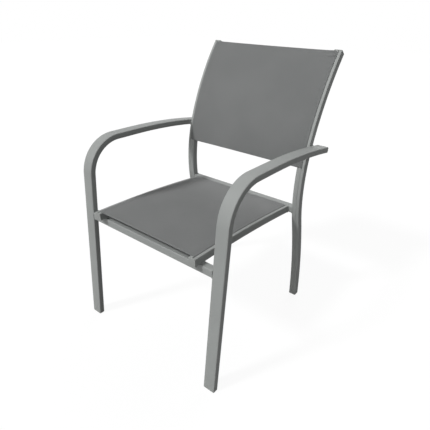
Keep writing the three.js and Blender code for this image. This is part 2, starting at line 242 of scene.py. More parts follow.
class Value:
    """An output socket that Python's operators work on."""

    def __init__(self, tree, socket):
        self.tree = tree
        self.socket = socket

    def math(self, operation, first, second=None):
        inputs = {0: first} if second is None else {0: first, 1: second}
        return self.tree.add("ShaderNodeMath", {"operation": operation}, inputs)[0]

    __add__, __radd__ = as_math("ADD"), as_math("ADD", reflected=True)
    __sub__, __rsub__ = as_math("SUBTRACT"), as_math("SUBTRACT", reflected=True)
    __mul__, __rmul__ = as_math("MULTIPLY"), as_math("MULTIPLY", reflected=True)
    __truediv__, __pow__ = as_math("DIVIDE"), as_math("POWER")
    __gt__, __lt__ = as_math("GREATER_THAN"), as_math("LESS_THAN")
    at_least = as_math("MAXIMUM")

    def sine(self):
        return self.math("SINE", self)

    def part(self):
        return self.math("FRACT", self)

    def whole(self):
        return self.math("FLOOR", self)


class Made:
    """A node that was just added. An output is taken by name or number, as a Value."""

    def __init__(self, tree, node):
        self.tree = tree
        self.node = node

    def __getitem__(self, key):
        return Value(self.tree, self.node.outputs[key])


class Tree:
    """A shader or geometry node tree under construction."""

    def __init__(self, nodes):
        self.nodes = nodes

    def add(self, kind, settings=None, inputs=None):
        node = self.nodes.nodes.new(kind)
        for name, value in (settings or {}).items():
            setattr(node, name, value)
        for key, value in (inputs or {}).items():
            several = isinstance(value, tuple) and isinstance(value[0], Value)
            for one in value if several else (value,):
                if isinstance(one, Value):
                    self.nodes.links.new(one.socket, node.inputs[key])
                elif one is not None:
                    node.inputs[key].default_value = one
        return Made(self, node)

    def mix(self, share, first, second):
        """A colour between two. A Mix node's colours go in at 6 and 7 and come out at 2."""
        return self.add("ShaderNodeMix", {"data_type": "RGBA"}, {0: share, 6: first, 7: second})[2]

    def ramp(self, value, low, high):
        """0 below low, 1 above high, and smooth between."""
        return self.add(
            "ShaderNodeMapRange",
            {"interpolation_type": "SMOOTHSTEP", "clamp": True},
            {"Value": value, "From Min": low, "From Max": high},
        )["Result"]

    def coordinates(self):
        """The object's own coordinates, in metres."""
        return self.add("ShaderNodeTexCoord")["Object"]

    def noise(self, at, scale, detail=2.0, roughness=0.5):
        return self.add(
            "ShaderNodeTexNoise",
            inputs={"Vector": at, "Scale": scale, "Detail": detail, "Roughness": roughness},
        )["Fac"]


print("a Value takes", sum(callable(item) for item in vars(Value).values()) - 1, "operations")

# %% [markdown]
# ## Bent tubes
#
# The frame is aluminium tube, bent on a machine: each length is straight or follows a circle, so
# a path is a list of lengths and turns. It could be drawn by hand as a Bezier curve, but a list of
# bends is how a bender's drawing says it, and it gives the same path as the CAD. A row of a path is
# y, z and a heading, which is measured from +Z towards +Y.

# %% Paths
Y, Z, HEADING = 0, 1, 2
RING_DEGREES = 1.0


class Path:
    """Places along a tube in a side view, each with its heading."""

    def __init__(self, rows):
        self.rows = np.array(rows, float)

    @staticmethod
    def bent(start, stretches, ring_degrees=RING_DEGREES):
        """From a start, by stretches of a length and a turn in degrees."""
        rows = [start]
        for length, degrees in stretches:
            y, z, heading = rows[-1]
            angle = math.radians(degrees)
            count = max(1, math.ceil(abs(degrees) / ring_degrees))
            for i in range(1, count + 1):
                turned = angle * (i / count)
                chord = 2 * length / angle * math.sin(turned / 2) if angle else length * i / count
                along = heading + turned / 2
                rows.append((y + chord * math.sin(along), z + chord * math.cos(along), heading + turned))
        return Path(rows)

    def extended(self, stretches):
        return Path(np.vstack([self.rows, Path.bent(tuple(self.rows[-1]), stretches).rows[1:]]))

    def at(self, index):
        """The row at an index, which may lie between two rows."""
        return np.array([np.interp(index, np.arange(len(self.rows)), column) for column in self.rows.T])

    def where(self, column, value):
        """The index, whole or broken, at which a column first reaches a value."""
        after = max(1, int(np.argmax(self.rows[:, column] >= value)))
        a, b = self.rows[after - 1, column], self.rows[after, column]
        return after - 1 + (value - a) / (b - a)

    def between(self, first, last):
        inner = [row for i, row in enumerate(self.rows) if first < i < last]
        return Path([self.at(first), *inner, self.at(last)])

    def lengths(self):
        steps = np.linalg.norm(np.diff(self.rows[:, :2], axis=0), axis=1)
        return np.concatenate([[0], np.cumsum(steps)])

    def before_end(self, distance):
        """The index at a distance before the end, or beyond it if that is negative."""
        along = self.lengths()
        return float(np.interp(along[-1] - distance, along, np.arange(len(along))))

    def inward(self, depth):
        """This path, moved into the tube by a depth."""
        y, z, heading = self.rows.T
        return Path(np.stack([y + depth * np.cos(heading), z - depth * np.sin(heading), heading], axis=1))

    def line(self, x=0.0):
        """Its points in space, at a place across the chair."""
        return [(x, y, z) for y, z, _ in self.rows]


def footed(lean, y, stretches):
    """A path that leaves the floor at y with a lean in degrees."""
    return Path.bent((y, 0.0, math.radians(lean)), stretches)


# %% Tube sizes
FIT = 0.3 * MM
CLAMP = 24 * MM
ARM_WIDTH, ARM_DEPTH, ARM_WALL, ARM_CORNER = 40 * MM, 18 * MM, 1.5 * MM, 3 * MM
UPRIGHT_WIDTH, UPRIGHT_DEPTH = 27 * MM, 23 * MM
UPRIGHT_OUTER = 250 * MM
UPRIGHT_INNER = UPRIGHT_OUTER - UPRIGHT_WIDTH
ARM_INNER = UPRIGHT_OUTER + FIT
ARM_OUTER = ARM_INNER + ARM_WIDTH
RAIL_WIDTH = RAIL_DEPTH = 24 * MM
RAIL_OUTER = 209 * MM
RAIL_INNER = RAIL_OUTER - RAIL_WIDTH
PLUG_RIM, FOOT_RIM = 3 * MM, 4 * MM
CROSS_HEIGHT, FRONT_CROSS_DEPTH, REAR_CROSS_DEPTH = 24 * MM, 23 * MM, 22 * MM
print("flat tube:", ARM_WIDTH / MM, "x", ARM_DEPTH / MM, "mm, arms", round(2 * ARM_OUTER / MM), "mm across")

# %% Places and bends, with angles in degrees
FOOT_SPACING = 547.7 * MM
LEG_LEAN, LEG_LENGTH = 6.13, 522.7 * MM
ARM_BEND_RADIUS, ARM_STRAIGHT, ARM_CURVE, ARM_RISE, ARM_TAIL = 121 * MM, 77.4 * MM, 8.1, 0.25, 45.2 * MM
UPRIGHT_LEAN = -1.56
UPRIGHT_BENDS = [(343.3 * MM, -12.26), (278 * MM, 31.94), (274 * MM, 18.3)]
SEAT_FRONT, SEAT_REAR, RAIL_INSET, RAIL_RISE = 422.5 * MM, 400.6 * MM, 23.8 * MM, 0.15
ARCH_RING_DEGREES = 0.5
REAR_CROSS_TOP = SEAT_REAR + 2 * MM

floor_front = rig.box("left_front_foot")[0].y
upright_path = footed(UPRIGHT_LEAN, floor_front + FOOT_SPACING, [*UPRIGHT_BENDS, (CLAMP, 0)])
bend_turn = 90 - ARM_RISE - LEG_LEAN
leg_and_bend = footed(LEG_LEAN, floor_front, [
    (LEG_LENGTH, 0),
    (ARM_BEND_RADIUS * math.radians(bend_turn), bend_turn),
    (ARM_STRAIGHT, 0),
])
elbow_y, elbow_z, elbow_heading = leg_and_bend.rows[-1]
arm_run = upright_path.at(upright_path.where(Z, elbow_z))[Y] + ARM_TAIL - elbow_y
curve_turn = math.radians(ARM_CURVE)
curve_run = arm_run - CLAMP * math.sin(elbow_heading + curve_turn)
curve_chord = curve_run / math.sin(elbow_heading + curve_turn / 2)
arm_path = leg_and_bend.extended([
    (curve_chord * curve_turn / 2 / math.sin(curve_turn / 2), ARM_CURVE),
    (CLAMP, 0),
])

rear_cross_at = upright_path.at(upright_path.where(Z, REAR_CROSS_TOP - CROSS_HEIGHT / 2))
rear_cross_front = rear_cross_at[Y] + (UPRIGHT_DEPTH - REAR_CROSS_DEPTH) / 2
front_cross_top = SEAT_FRONT - RAIL_DEPTH - FIT
front_cross_front = floor_front + math.tan(math.radians(LEG_LEAN)) * (front_cross_top - CROSS_HEIGHT / 2)

rail_start = floor_front + RAIL_INSET + PLUG_RIM
rail_heading = math.radians(90 - RAIL_RISE)
arch_run = rear_cross_front - rail_start - CLAMP * math.sin(rail_heading)
arch_drop = SEAT_FRONT + CLAMP * math.cos(rail_heading) - SEAT_REAR
arch_turn = 2 * (math.atan2(arch_run, -arch_drop) - rail_heading)
arch_length = math.hypot(arch_run, arch_drop) * arch_turn / 2 / math.sin(arch_turn / 2)
rail_path = Path.bent(
    (rail_start, SEAT_FRONT, rail_heading),
    [(CLAMP, 0), (arch_length, math.degrees(arch_turn))],
    ARCH_RING_DEGREES,
)
for name, path in (("arm", arm_path), ("upright", upright_path), ("rail", rail_path)):
    print(name, "path:", len(path.rows), "rings,", round(path.lengths()[-1] / MM), "mm long")

# %% [markdown]
# ## Sections
#
# A tube's section is a closed outline in two directions: across the chair, and from the outer face
# into the tube. The flat tube is a rectangle with rounded corners. The uprights and seat rails are
# extrusions with a narrow mouth in the front face and a round slot behind it, which takes the
# sling's hem. The hollow runs round the slot's wall. Each point carries a number that is 1 on a
# corner and 0 on the flats, so that the paint can look thinner on the corners.

# %% Outlines
CORNER_CUTS = 8
SLOT_CUTS = 28
ROUND_CUTS = 32
EXTRUSION_CORNER, EXTRUSION_WALL = 2.5 * MM, 1.6 * MM
MOUTH, LIP, SLOT_WALL, SLOT_EDGE = 3 * MM, 1.8 * MM, 1.5 * MM, 9.4 * MM
WELT_RADIUS, CLOTH = 2.25 * MM, 0.7 * MM
SLOT_RADIUS = 3.85 * MM
SLOT_DEPTH = LIP + math.sqrt(SLOT_RADIUS ** 2 - (MOUTH / 2) ** 2)


def arc(centre, radius, first, last, cuts, worn=False):
    """Points (x, depth, wear) on an arc. Wear rises to 1 at the middle of a worn one."""
    parts = np.linspace(0, 1, cuts + 1)
    angles = first + (last - first) * parts
    wear = np.sin(math.pi * parts) if worn else np.zeros(cuts + 1)
    return [
        (centre[0] + radius * math.cos(a), centre[1] + radius * math.sin(a), float(w))
        for a, w in zip(angles, wear)
    ]


def rounded(low_x, high_x, low_y, high_y, radius, notch=()):
    """A rounded rectangle, with a notch in the side at low_y if one is given."""
    quarter = math.pi / 2
    centres = (
        (high_x - radius, high_y - radius),
        (low_x + radius, high_y - radius),
        (low_x + radius, low_y + radius),
        (high_x - radius, low_y + radius),
    )
    corners = [
        arc(centre, radius, i * quarter, (i + 1) * quarter, CORNER_CUTS, worn=True)
        for i, centre in enumerate(centres)
    ]
    return [*corners[0], *corners[1], *corners[2], *notch, *corners[3]]


def mirrored(points, side):
    """A section for the left side is the right one's mirror image."""
    return points if side > 0 else [(-x, y, w) for x, y, w in reversed(points)]


def flat_tube(low, high, depth, wall, corner):
    """The outline of a flat tube, and its bore."""
    return (
        rounded(low, high, 0, depth, corner),
        rounded(low + wall, high - wall, wall, depth - wall, corner - wall),
    )


def slotted(outer_x, width, depth):
    """The outline with its slot, and the hollow behind it."""
    inner_x = outer_x - width
    slot = (outer_x - SLOT_EDGE - MOUTH / 2, SLOT_DEPTH)
    upward = -math.pi / 2
    mouth_angle = math.asin(MOUTH / 2 / SLOT_RADIUS)
    notch = [
        (slot[0] - MOUTH / 2, 0, 1.0),
        *arc(slot, SLOT_RADIUS, upward - mouth_angle, upward + mouth_angle - 2 * math.pi, SLOT_CUTS),
        (slot[0] + MOUTH / 2, 0, 1.0),
    ]
    wall_radius = SLOT_RADIUS + SLOT_WALL
    wall_angle = math.acos((SLOT_DEPTH - LIP) / wall_radius)
    low, high = inner_x + EXTRUSION_WALL, outer_x - EXTRUSION_WALL
    hollow = [
        (low, depth - EXTRUSION_WALL, 0.0),
        (low, LIP, 0.0),
        *arc(slot, wall_radius, upward - wall_angle, upward + wall_angle - 2 * math.pi, SLOT_CUTS),
        (high, LIP, 0.0),
        (high, depth - EXTRUSION_WALL, 0.0),
    ]
    return rounded(inner_x, outer_x, 0, depth, EXTRUSION_CORNER, notch), hollow


def ring(radius, cuts=ROUND_CUTS):
    return arc((0, 0), radius, 0, 2 * math.pi, cuts)[1:]


print("slot centre:", round(SLOT_DEPTH / MM, 2), "mm behind the face, radius:", SLOT_RADIUS / MM, "mm")

# %% [markdown]
# ## The sweep, as Geometry Nodes
#
# A tube is its section, carried along its path. Curve to Mesh does that. Its profile must not roll
# on the way, so Set Curve Normal holds the section's first direction to one that is named, across
# the chair. The outer wall and the bore are two sweeps, and Fill Curve closes the ends between
# them, so that a tube is hollow like the real one and still one closed mesh.

# %% The sweep tree
MERGE = 0.001 * MM


def geometry_tree(name, inputs):
    """A new tree with named inputs, and the Group Input that gives them."""
    nodes = bpy.data.node_groups.new(name, "GeometryNodeTree")
    nodes.interface.new_socket("Geometry", in_out="INPUT", socket_type="NodeSocketGeometry")
    nodes.interface.new_socket("Geometry", in_out="OUTPUT", socket_type="NodeSocketGeometry")
    for label, kind in inputs.items():
        nodes.interface.new_socket(label, in_out="INPUT", socket_type=kind)
    tree = Tree(nodes)
    return tree, tree.add("NodeGroupInput")


def close_tree(tree, geometry, material):
    """Every tree ends with real geometry, not instances, and its material."""
    real = tree.add("GeometryNodeRealizeInstances", inputs={"Geometry": geometry})
    finished = tree.add("GeometryNodeSetMaterial", inputs={
        "Geometry": real["Geometry"],
        "Material": material,
    })
    tree.add("NodeGroupOutput", inputs={"Geometry": finished["Geometry"]})


def sweep_tree():
    tree, given = geometry_tree("carry a section along a path", {
        "Outline": "NodeSocketObject",
        "Bore": "NodeSocketObject",
        "Across": "NodeSocketVector",
        "Material": "NodeSocketMaterial",
    })
    line = tree.add("GeometryNodeMeshToCurve", inputs={"Mesh": given["Geometry"]})
    held = tree.add("GeometryNodeSetCurveNormal", {"mode": "FREE"}, {
        "Curve": line["Curve"],
        "Normal": given["Across"],
    })
    loops, walls = [], []
    for label in ("Outline", "Bore"):
        shape = tree.add("GeometryNodeObjectInfo", inputs={"Object": given[label]})
        loops.append(tree.add("GeometryNodeMeshToCurve", inputs={"Mesh": shape["Geometry"]})["Curve"])
        wall = tree.add("GeometryNodeCurveToMesh", inputs={
            "Curve": held["Curve"],
            "Profile Curve": loops[-1],
        })
        walls.append(wall["Mesh"])
    # Without a bore, its wall is bare edges, which go
    faces_beside = tree.add("GeometryNodeInputMeshEdgeNeighbors")["Face Count"]
    bore = tree.add("GeometryNodeDeleteGeometry", {"domain": "EDGE"}, {
        "Geometry": walls[1],
        "Selection": faces_beside < 1,
    })
    bore = tree.add("GeometryNodeFlipFaces", inputs={"Mesh": bore["Geometry"]})
    both = tree.add("GeometryNodeJoinGeometry", inputs={"Geometry": (loops[1], loops[0])})
    cap = tree.add("GeometryNodeFillCurve", {"mode": "TRIANGLES"}, {"Curve": both["Geometry"]})
    parts = [walls[0], bore["Mesh"]]
    for factor in (0.0, 1.0):
        end = tree.add("GeometryNodeSampleCurve", {"mode": "FACTOR", "use_all_curves": True}, {
            "Curves": held["Curve"],
            "Factor": factor,
        })
        aim = tree.add("FunctionNodeAxesToRotation", {"primary_axis": "Z", "secondary_axis": "X"}, {
            "Primary Axis": end["Tangent"],
            "Secondary Axis": given["Across"],
        })
        facing = cap["Mesh"]
        if factor == 0.0:
            facing = tree.add("GeometryNodeFlipFaces", inputs={"Mesh": facing})["Mesh"]
        parts.append(tree.add("GeometryNodeTransform", inputs={
            "Geometry": facing,
            "Translation": end["Position"],
            "Rotation": aim["Rotation"],
        })["Geometry"])
    whole = tree.add("GeometryNodeJoinGeometry", inputs={"Geometry": tuple(parts)})
    joined = tree.add("GeometryNodeMergeByDistance", inputs={
        "Geometry": whole["Geometry"],
        "Distance": MERGE,
    })
    close_tree(tree, joined["Geometry"], given["Material"])
    return tree.nodes


SWEEP = sweep_tree()
print("sweep tree:", len(SWEEP.nodes), "nodes")


# %% Objects that feed a tree, and how its result is taken
def lines_object(name, opened=(), closed=(), wear=None):
    """Lines and loops as one mesh of edges: paths or an outline for a tree."""
    points, edges = [], []
    for lines, is_closed in ((closed, True), (opened, False)):
        for line in lines:
            first = len(points)
            points += [tuple(point) for point in line]
            edges += [(i, i + 1) for i in range(first, len(points) - 1)]
            if is_closed:
                edges.append((len(points) - 1, first))
    mesh = mesh_from(name, points, edges=edges)
    if wear is not None:
        mesh.attributes.new("wear", "FLOAT", "POINT").data.foreach_set("value", wear)
    return linked(name, mesh)


def outline_object(points):
    return lines_object("outline", closed=[[(x, y, 0) for x, y, _ in points]], wear=[w for _, _, w in points])


def grown(name, tree, base, inputs):
    """Runs a tree on an object and keeps what it makes as a plain mesh."""
    modifier = base.modifiers.new("grow", "NODES")
    modifier.node_group = tree
    sockets = {item.name: item.identifier for item in tree.interface.items_tree if item.in_out == "INPUT"}
    for label, value in inputs.items():
        modifier[sockets[label]] = value
    bpy.context.view_layer.update()
    evaluated = base.evaluated_get(bpy.context.evaluated_depsgraph_get())
    mesh = bpy.data.meshes.new_from_object(evaluated)
    bpy.data.objects.remove(base)
    mesh.name = name
    mesh.materials.clear()
    mesh.materials.append(inputs["Material"])
    mesh.polygons.foreach_set("material_index", [0] * len(mesh.polygons))
    return mesh


def smooth(mesh, degrees=30):
    """Rounded faces shade smoothly, and edges sharper than an angle stay crisp."""
    mesh.shade_smooth()
    mesh.set_sharp_from_angle(angle=math.radians(degrees))


# %% How a piece is cut and placed
SAME_PLACE = 0.02 * MM
SLOTS = {
    "powder_coat": "frame_paint",
    "sling_cloth": "sling_fabric",
    "seam_thread": "sling_fabric",
    "welt_rod": "welt_plastic",
    "moulded_plug": "plug_plastic",
    "moulded_glide": "foot_plastic",
}


def points_of(mesh):
    flat = np.empty(len(mesh.vertices) * 3)
    mesh.vertices.foreach_get("co", flat)
    return flat.reshape(-1, 3)


def slide_end(mesh, line, end, axis, value):
    """Moves a tube's end ring along the tube until it lies in the plane axis = value."""
    tip, before = np.array(line[end]), np.array(line[1 if end == 0 else -2])
    tangent = (tip - before) / np.linalg.norm(tip - before)
    points = points_of(mesh)
    at_end = abs((points - tip) @ tangent) < SAME_PLACE
    points[at_end] += tangent * ((value - points[at_end, axis]) / tangent[axis])[:, None]
    mesh.vertices.foreach_set("co", points.ravel())
    mesh.update()


def worst_gap(mesh, node):
    """How far the corners of a mesh's box are from those of its CAD node, in mm."""
    points = points_of(mesh)
    low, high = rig.box(node)
    gap = max(abs(points.min(0) - low).max(), abs(points.max(0) - high).max())
    return round(float(gap) / MM, 2)


def place(name, mesh, node=None):
    """A finished piece: it rides on the one body, and stands for a CAD node if one is named."""
    obj = linked(name, mesh)
    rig.ride(obj, "root")
    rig.slot(obj, SLOTS[mesh.materials[0].name])
    if node:
        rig.replaces(obj, node)
        print(f"{name}: {len(mesh.polygons)} faces, {worst_gap(mesh, node)} mm from the CAD's box")
    return obj


print("slots:", sorted(set(SLOTS.values())))

# %% [markdown]
# ## Powder coat
#
# The tubes are powder coated: a satin warm grey skin with the fine ripple that painters call orange
# peel. It is a little thinner and paler on the corners, and scuffed where the legs meet the
# ground. An image could hold all that, but noise on the object's own coordinates has no seams and
# keeps its size on every tube, so the noise drives colour, roughness and bump.

# %% Frame paint
PAINT = (0.312, 0.325, 0.318, 1)
PAINT_DARK = (0.276, 0.287, 0.281, 1)
PAINT_WORN = (0.395, 0.405, 0.392, 1)
PAINT_DUSTY = (0.262, 0.262, 0.246, 1)
# Scales of noise say how many lumps there are to a metre
CLOUDS, RUBS, SCUFFS, PEEL, GRAIN = 9, 70, 160, 620, 2400
# How far each one takes the colour, at most
CLOUD_SHARE, GRAIN_SHARE, EDGE_SHARE, RUB_SHARE, SCUFF_SHARE = 0.35, 0.12, 0.1, 0.35, 0.7
SCUFFED_TO = 90 * MM


def new_material(name):
    material = bpy.data.materials.new(name)
    material.use_nodes = True
    material.node_tree.nodes.clear()
    return material, Tree(material.node_tree)


def close_material(tree, looks, height, distance, strength=0.3):
    """The shader, with a bump whose height reaches up to a distance."""
    bump = tree.add("ShaderNodeBump", inputs={"Height": height, "Distance": distance, "Strength": strength})
    shader = tree.add("ShaderNodeBsdfPrincipled", inputs={**looks, "Normal": bump["Normal"]})
    tree.add("ShaderNodeOutputMaterial", inputs={"Surface": shader["BSDF"]})


def paint_material():
    material, tree = new_material("powder_coat")
    coordinates = tree.coordinates()
    height = tree.add("ShaderNodeSeparateXYZ", inputs={"Vector": coordinates})["Z"]
    wear = tree.add("ShaderNodeAttribute", {"attribute_name": "wear"})["Fac"]
    clouds = tree.noise(coordinates, CLOUDS, 3)
    peel = tree.noise(coordinates, PEEL, 2)
    grain = tree.noise(coordinates, GRAIN, 1)
    rub = tree.ramp(tree.noise(coordinates, RUBS, 4, 0.6), 0.5, 0.72)
    color = tree.mix(tree.ramp(clouds, 0.3, 0.7) * CLOUD_SHARE, PAINT, PAINT_DARK)
    color = tree.mix(grain * GRAIN_SHARE, color, PAINT_WORN)
    color = tree.mix(wear * (EDGE_SHARE + RUB_SHARE * rub), color, PAINT_WORN)
    near_floor = 1 - tree.ramp(height, FOOT_RIM, SCUFFED_TO)
    scuffs = near_floor * tree.ramp(tree.noise(coordinates, SCUFFS, 4, 0.65), 0.45, 0.7)
    color = tree.mix(scuffs * SCUFF_SHARE, color, PAINT_DUSTY)
    rough = 0.56 + 0.1 * clouds + 0.1 * scuffs - 0.05 * wear
    looks = {"Base Color": color, "Roughness": rough, "Specular IOR Level": 0.28}
    close_material(tree, looks, height=peel + 0.25 * grain, distance=0.25 * MM, strength=0.35)
    return material


powder_coat = paint_material()
print("powder coat:", len(powder_coat.node_tree.nodes), "nodes")

# %% [markdown]
# ## The frame's tubes
#
# Each tube is grown by the sweep tree from its path and its section. The lower ends are cut level,
# just above their glides, and the seat rails' rear ends are cut plumb, where they meet the rear
# cross tube: the last ring slides along the tube until it lies in the cut.

# %% Sweep a piece
SIDES = (("left", -1), ("right", 1))
ALONG_X = (1, 0, 0)


def sweep(name, node, line, sections, material, side=1, across=ALONG_X, cuts=()):
    """Grows a piece from its path and outlines, slides its ends into their cuts, and places it."""
    helpers = [outline_object(mirrored(section, side)) for section in sections]
    mesh = grown(name, SWEEP, lines_object("path", [line]), {
        "Outline": helpers[0],
        "Bore": helpers[1] if len(helpers) > 1 else None,
        "Across": across,
        "Material": material,
    })
    for helper in helpers:
        bpy.data.objects.remove(helper)
    smooth(mesh)
    for end, axis, value in cuts:
        slide_end(mesh, line, end, axis, value)
    return place(name, mesh, node)


# %% Legs, arms, uprights and rails
foot_top = FOOT_RIM + FIT


def from_floor(path):
    """The line of a tube from the top of its glide."""
    return path.between(path.where(Z, foot_top), len(path.rows) - 1).line()


# A cut says which end, which axis and where
level, plumb = (0, 2, foot_top), (-1, 1, rear_cross_front - FIT)
# Title, CAD node, line, cut and sections
TUBES = (
    ("arm_and_leg", "arm_leg_tube", from_floor(arm_path), level,
     flat_tube(ARM_INNER, ARM_OUTER, ARM_DEPTH, ARM_WALL, ARM_CORNER)),
    ("back_post", "upright", from_floor(upright_path), level,
     slotted(UPRIGHT_OUTER, UPRIGHT_WIDTH, UPRIGHT_DEPTH)),
    ("rail", "seat_rail", rail_path.line(), plumb,
     slotted(RAIL_OUTER, RAIL_WIDTH, RAIL_DEPTH)),
)
for side_name, side in SIDES:
    for title, node, line, cut, sections in TUBES:
        sweep(f"{side_name}_{title}", f"{side_name}_{node}", line, sections, powder_coat, side, cuts=[cut])

# %% Cross tubes
CROSS_WALL, CROSS_CORNER, CROSS_POINTS = 1.5 * MM, 2.5 * MM, 9
# Title, front, depth, top and half the length
CROSSES = (
    ("front", front_cross_front, FRONT_CROSS_DEPTH, front_cross_top, ARM_INNER - FIT),
    ("rear", rear_cross_front, REAR_CROSS_DEPTH, REAR_CROSS_TOP, UPRIGHT_INNER - FIT),
)
for title, front, depth, top, half in CROSSES:
    sections = [
        [(x + front, y + top - CROSS_HEIGHT, w) for x, y, w in loop]
        for loop in flat_tube(0, depth, CROSS_HEIGHT, CROSS_WALL, CROSS_CORNER)
    ]
    line = [(x, 0, 0) for x in np.linspace(-half, half, CROSS_POINTS)]
    sweep(f"{title}_cross_bar", f"{title}_cross_tube", line, sections, powder_coat, across=(0, 1, 0))

# %% The spreader behind the back
SPREADER_RADIUS, SPREADER_WALL, SPREADER_BOW, SPREADER_HEIGHT = 9.5 * MM, 1.5 * MM, 30 * MM, 735 * MM
BOW_POINTS = 61
spreader_at = upright_path.at(upright_path.where(Z, SPREADER_HEIGHT))
into = Vector((0, math.cos(spreader_at[HEADING]), -math.sin(spreader_at[HEADING])))
upward = Vector((0, math.sin(spreader_at[HEADING]), math.cos(spreader_at[HEADING])))
spreader_centre = Vector((0, *spreader_at[:2])) + into * (UPRIGHT_DEPTH / 2)
spreader_half = UPRIGHT_INNER - FIT
bow_radius = spreader_half ** 2 / (2 * SPREADER_BOW) + SPREADER_BOW / 2


def bow_at(x):
    """A point of the spreader's middle line, which is an arc."""
    depth = math.sqrt(bow_radius ** 2 - x ** 2) - bow_radius + SPREADER_BOW
    return spreader_centre + Vector((x, 0, 0)) + into * depth


bow_line = [bow_at(x) for x in np.linspace(-spreader_half, spreader_half, BOW_POINTS)]
sweep(
    "bowed_spreader", "back_spreader", bow_line,
    [ring(SPREADER_RADIUS), ring(SPREADER_RADIUS - SPREADER_WALL)],
    powder_coat, across=tuple(upward), cuts=[(0, 0, -spreader_half), (-1, 0, spreader_half)],
)

# %% [markdown]
# ## Weld beads
#
# The tubes are welded where they meet, and each weld is a bead of small ripples, one for every
# drop of wire. A bead could be sculpted, but it is a row of equal ripples along an edge, so a tree
# makes it: a circle is carried along the joint, and its radius rises and falls with the length,
# with some seeded unevenness from the welder's hand.

# %% The bead tree
RINGS_PER_RIPPLE, BEAD_SIDES = 5, 10
UNEVEN, UNEVEN_SCALE = 0.3, 90.0


def bead_tree():
    tree, given = geometry_tree("lay a rippled bead along a joint", {
        "Bead Radius": "NodeSocketFloat",
        "Ripple Pitch": "NodeSocketFloat",
        "Ripple Depth": "NodeSocketFloat",
        "Seed": "NodeSocketFloat",
        "Material": "NodeSocketMaterial",
    })
    line = tree.add("GeometryNodeMeshToCurve", inputs={"Mesh": given["Geometry"]})
    fine = tree.add("GeometryNodeResampleCurve", {"mode": "LENGTH"}, {
        "Curve": line["Curve"],
        "Length": given["Ripple Pitch"] / RINGS_PER_RIPPLE,
    })
    along = tree.add("GeometryNodeSplineParameter")["Length"]
    ripple = (along / given["Ripple Pitch"] * math.pi).sine() ** 2
    hand = tree.add("ShaderNodeTexNoise", {"noise_dimensions": "4D"}, {
        "Vector": tree.add("GeometryNodeInputPosition")["Position"],
        "W": given["Seed"],
        "Scale": UNEVEN_SCALE,
    })["Fac"]
    profile = tree.add("GeometryNodeCurvePrimitiveCircle", {"mode": "RADIUS"}, {
        "Resolution": BEAD_SIDES,
        "Radius": 1.0,
    })
    bead = tree.add("GeometryNodeCurveToMesh", inputs={
        "Curve": fine["Curve"],
        "Profile Curve": profile["Curve"],
        "Scale": given["Bead Radius"] * (1 - UNEVEN / 2 + UNEVEN * hand - given["Ripple Depth"] * ripple),
        "Fill Caps": True,
    })
    close_tree(tree, bead["Mesh"], given["Material"])
    return tree.nodes


BEAD = bead_tree()
print("bead tree:", len(BEAD.nodes), "nodes")

# %% Where the tubes are welded
BEAD_RADIUS, RIPPLE_PITCH, RIPPLE_DEPTH = 1.7 * MM, 1.9 * MM, 0.22
SEAT_POINTS, ROUND_POINTS = 5, 24
PARALLEL = 1e-12
WELDER = 3.0


def turn_between(a, b):
    return a[0] * b[1] - a[1] * b[0]


def crossing(path_a, depth_a, path_b, depth_b):
    """Where two tubes' edges, at a depth inside each, cross in a side view, for the last time."""
    a = path_a.inward(depth_a).rows
    b = path_b.inward(depth_b).rows
    found = None
    for p, q in zip(a[:-1, :2], a[1:, :2]):
        for r, t in zip(b[:-1, :2], b[1:, :2]):
            u, v, w = q - p, t - r, r - p
            across = turn_between(u, v)
            if abs(across) < PARALLEL:
                continue
            at_a, at_b = turn_between(w, v) / across, turn_between(w, u) / across
            if 0 <= at_a <= 1 and 0 <= at_b <= 1:
                found = p + at_a * u
    return found


def tube_end(axis, at, low, high):
    """The rounded outline of a tube's end, in the plane axis = at."""
    loop = [point[:2] for point in rounded(low[0], high[0], low[1], high[1], CROSS_CORNER)]
    return [(at, a, b) if axis == 0 else (a, at, b) for a, b in loop]


closed_welds, open_welds = [], []
arm_patch = [crossing(arm_path, a, upright_path, b) for a, b in (
    (0, 0), (0, UPRIGHT_DEPTH), (ARM_DEPTH, UPRIGHT_DEPTH), (ARM_DEPTH, 0),
)]
rail_end = rail_path.rows[-1]
for _, side in SIDES:
    closed_welds.append([(side * (UPRIGHT_OUTER + FIT / 2), y, z) for y, z in arm_patch])
    for _, front, depth, top, half in CROSSES:
        closed_welds.append(tube_end(
            0, side * (half + FIT / 2), (front, top - CROSS_HEIGHT), (front + depth, top)
        ))
    rail_x = sorted((side * RAIL_INNER, side * RAIL_OUTER))
    closed_welds.append(tube_end(
        1, rear_cross_front - FIT / 2, (rail_x[0], rail_end[Z] - RAIL_DEPTH), (rail_x[1], rail_end[Z])
    ))
    for x in rail_x:
        open_welds.append([
            (x, front_cross_front + y, front_cross_top + FIT / 2)
            for y in np.linspace(BEAD_RADIUS, FRONT_CROSS_DEPTH - BEAD_RADIUS, SEAT_POINTS)
        ])
    end = bow_at(side * spreader_half)
    closed_welds.append([
        end + upward * (SPREADER_RADIUS * math.cos(a)) + into * (SPREADER_RADIUS * math.sin(a))
        for a in np.linspace(0, 2 * math.pi, ROUND_POINTS, endpoint=False)
    ])

mesh = grown("weld_beads", BEAD, lines_object("joints", open_welds, closed_welds), {
    "Bead Radius": BEAD_RADIUS,
    "Ripple Pitch": RIPPLE_PITCH,
    "Ripple Depth": RIPPLE_DEPTH,
    "Seed": WELDER,
    "Material": powder_coat,
})
smooth(mesh, degrees=60)
place("weld_beads", mesh)
print("weld beads:", len(closed_welds) + len(open_welds), "lines,", len(mesh.polygons), "faces")

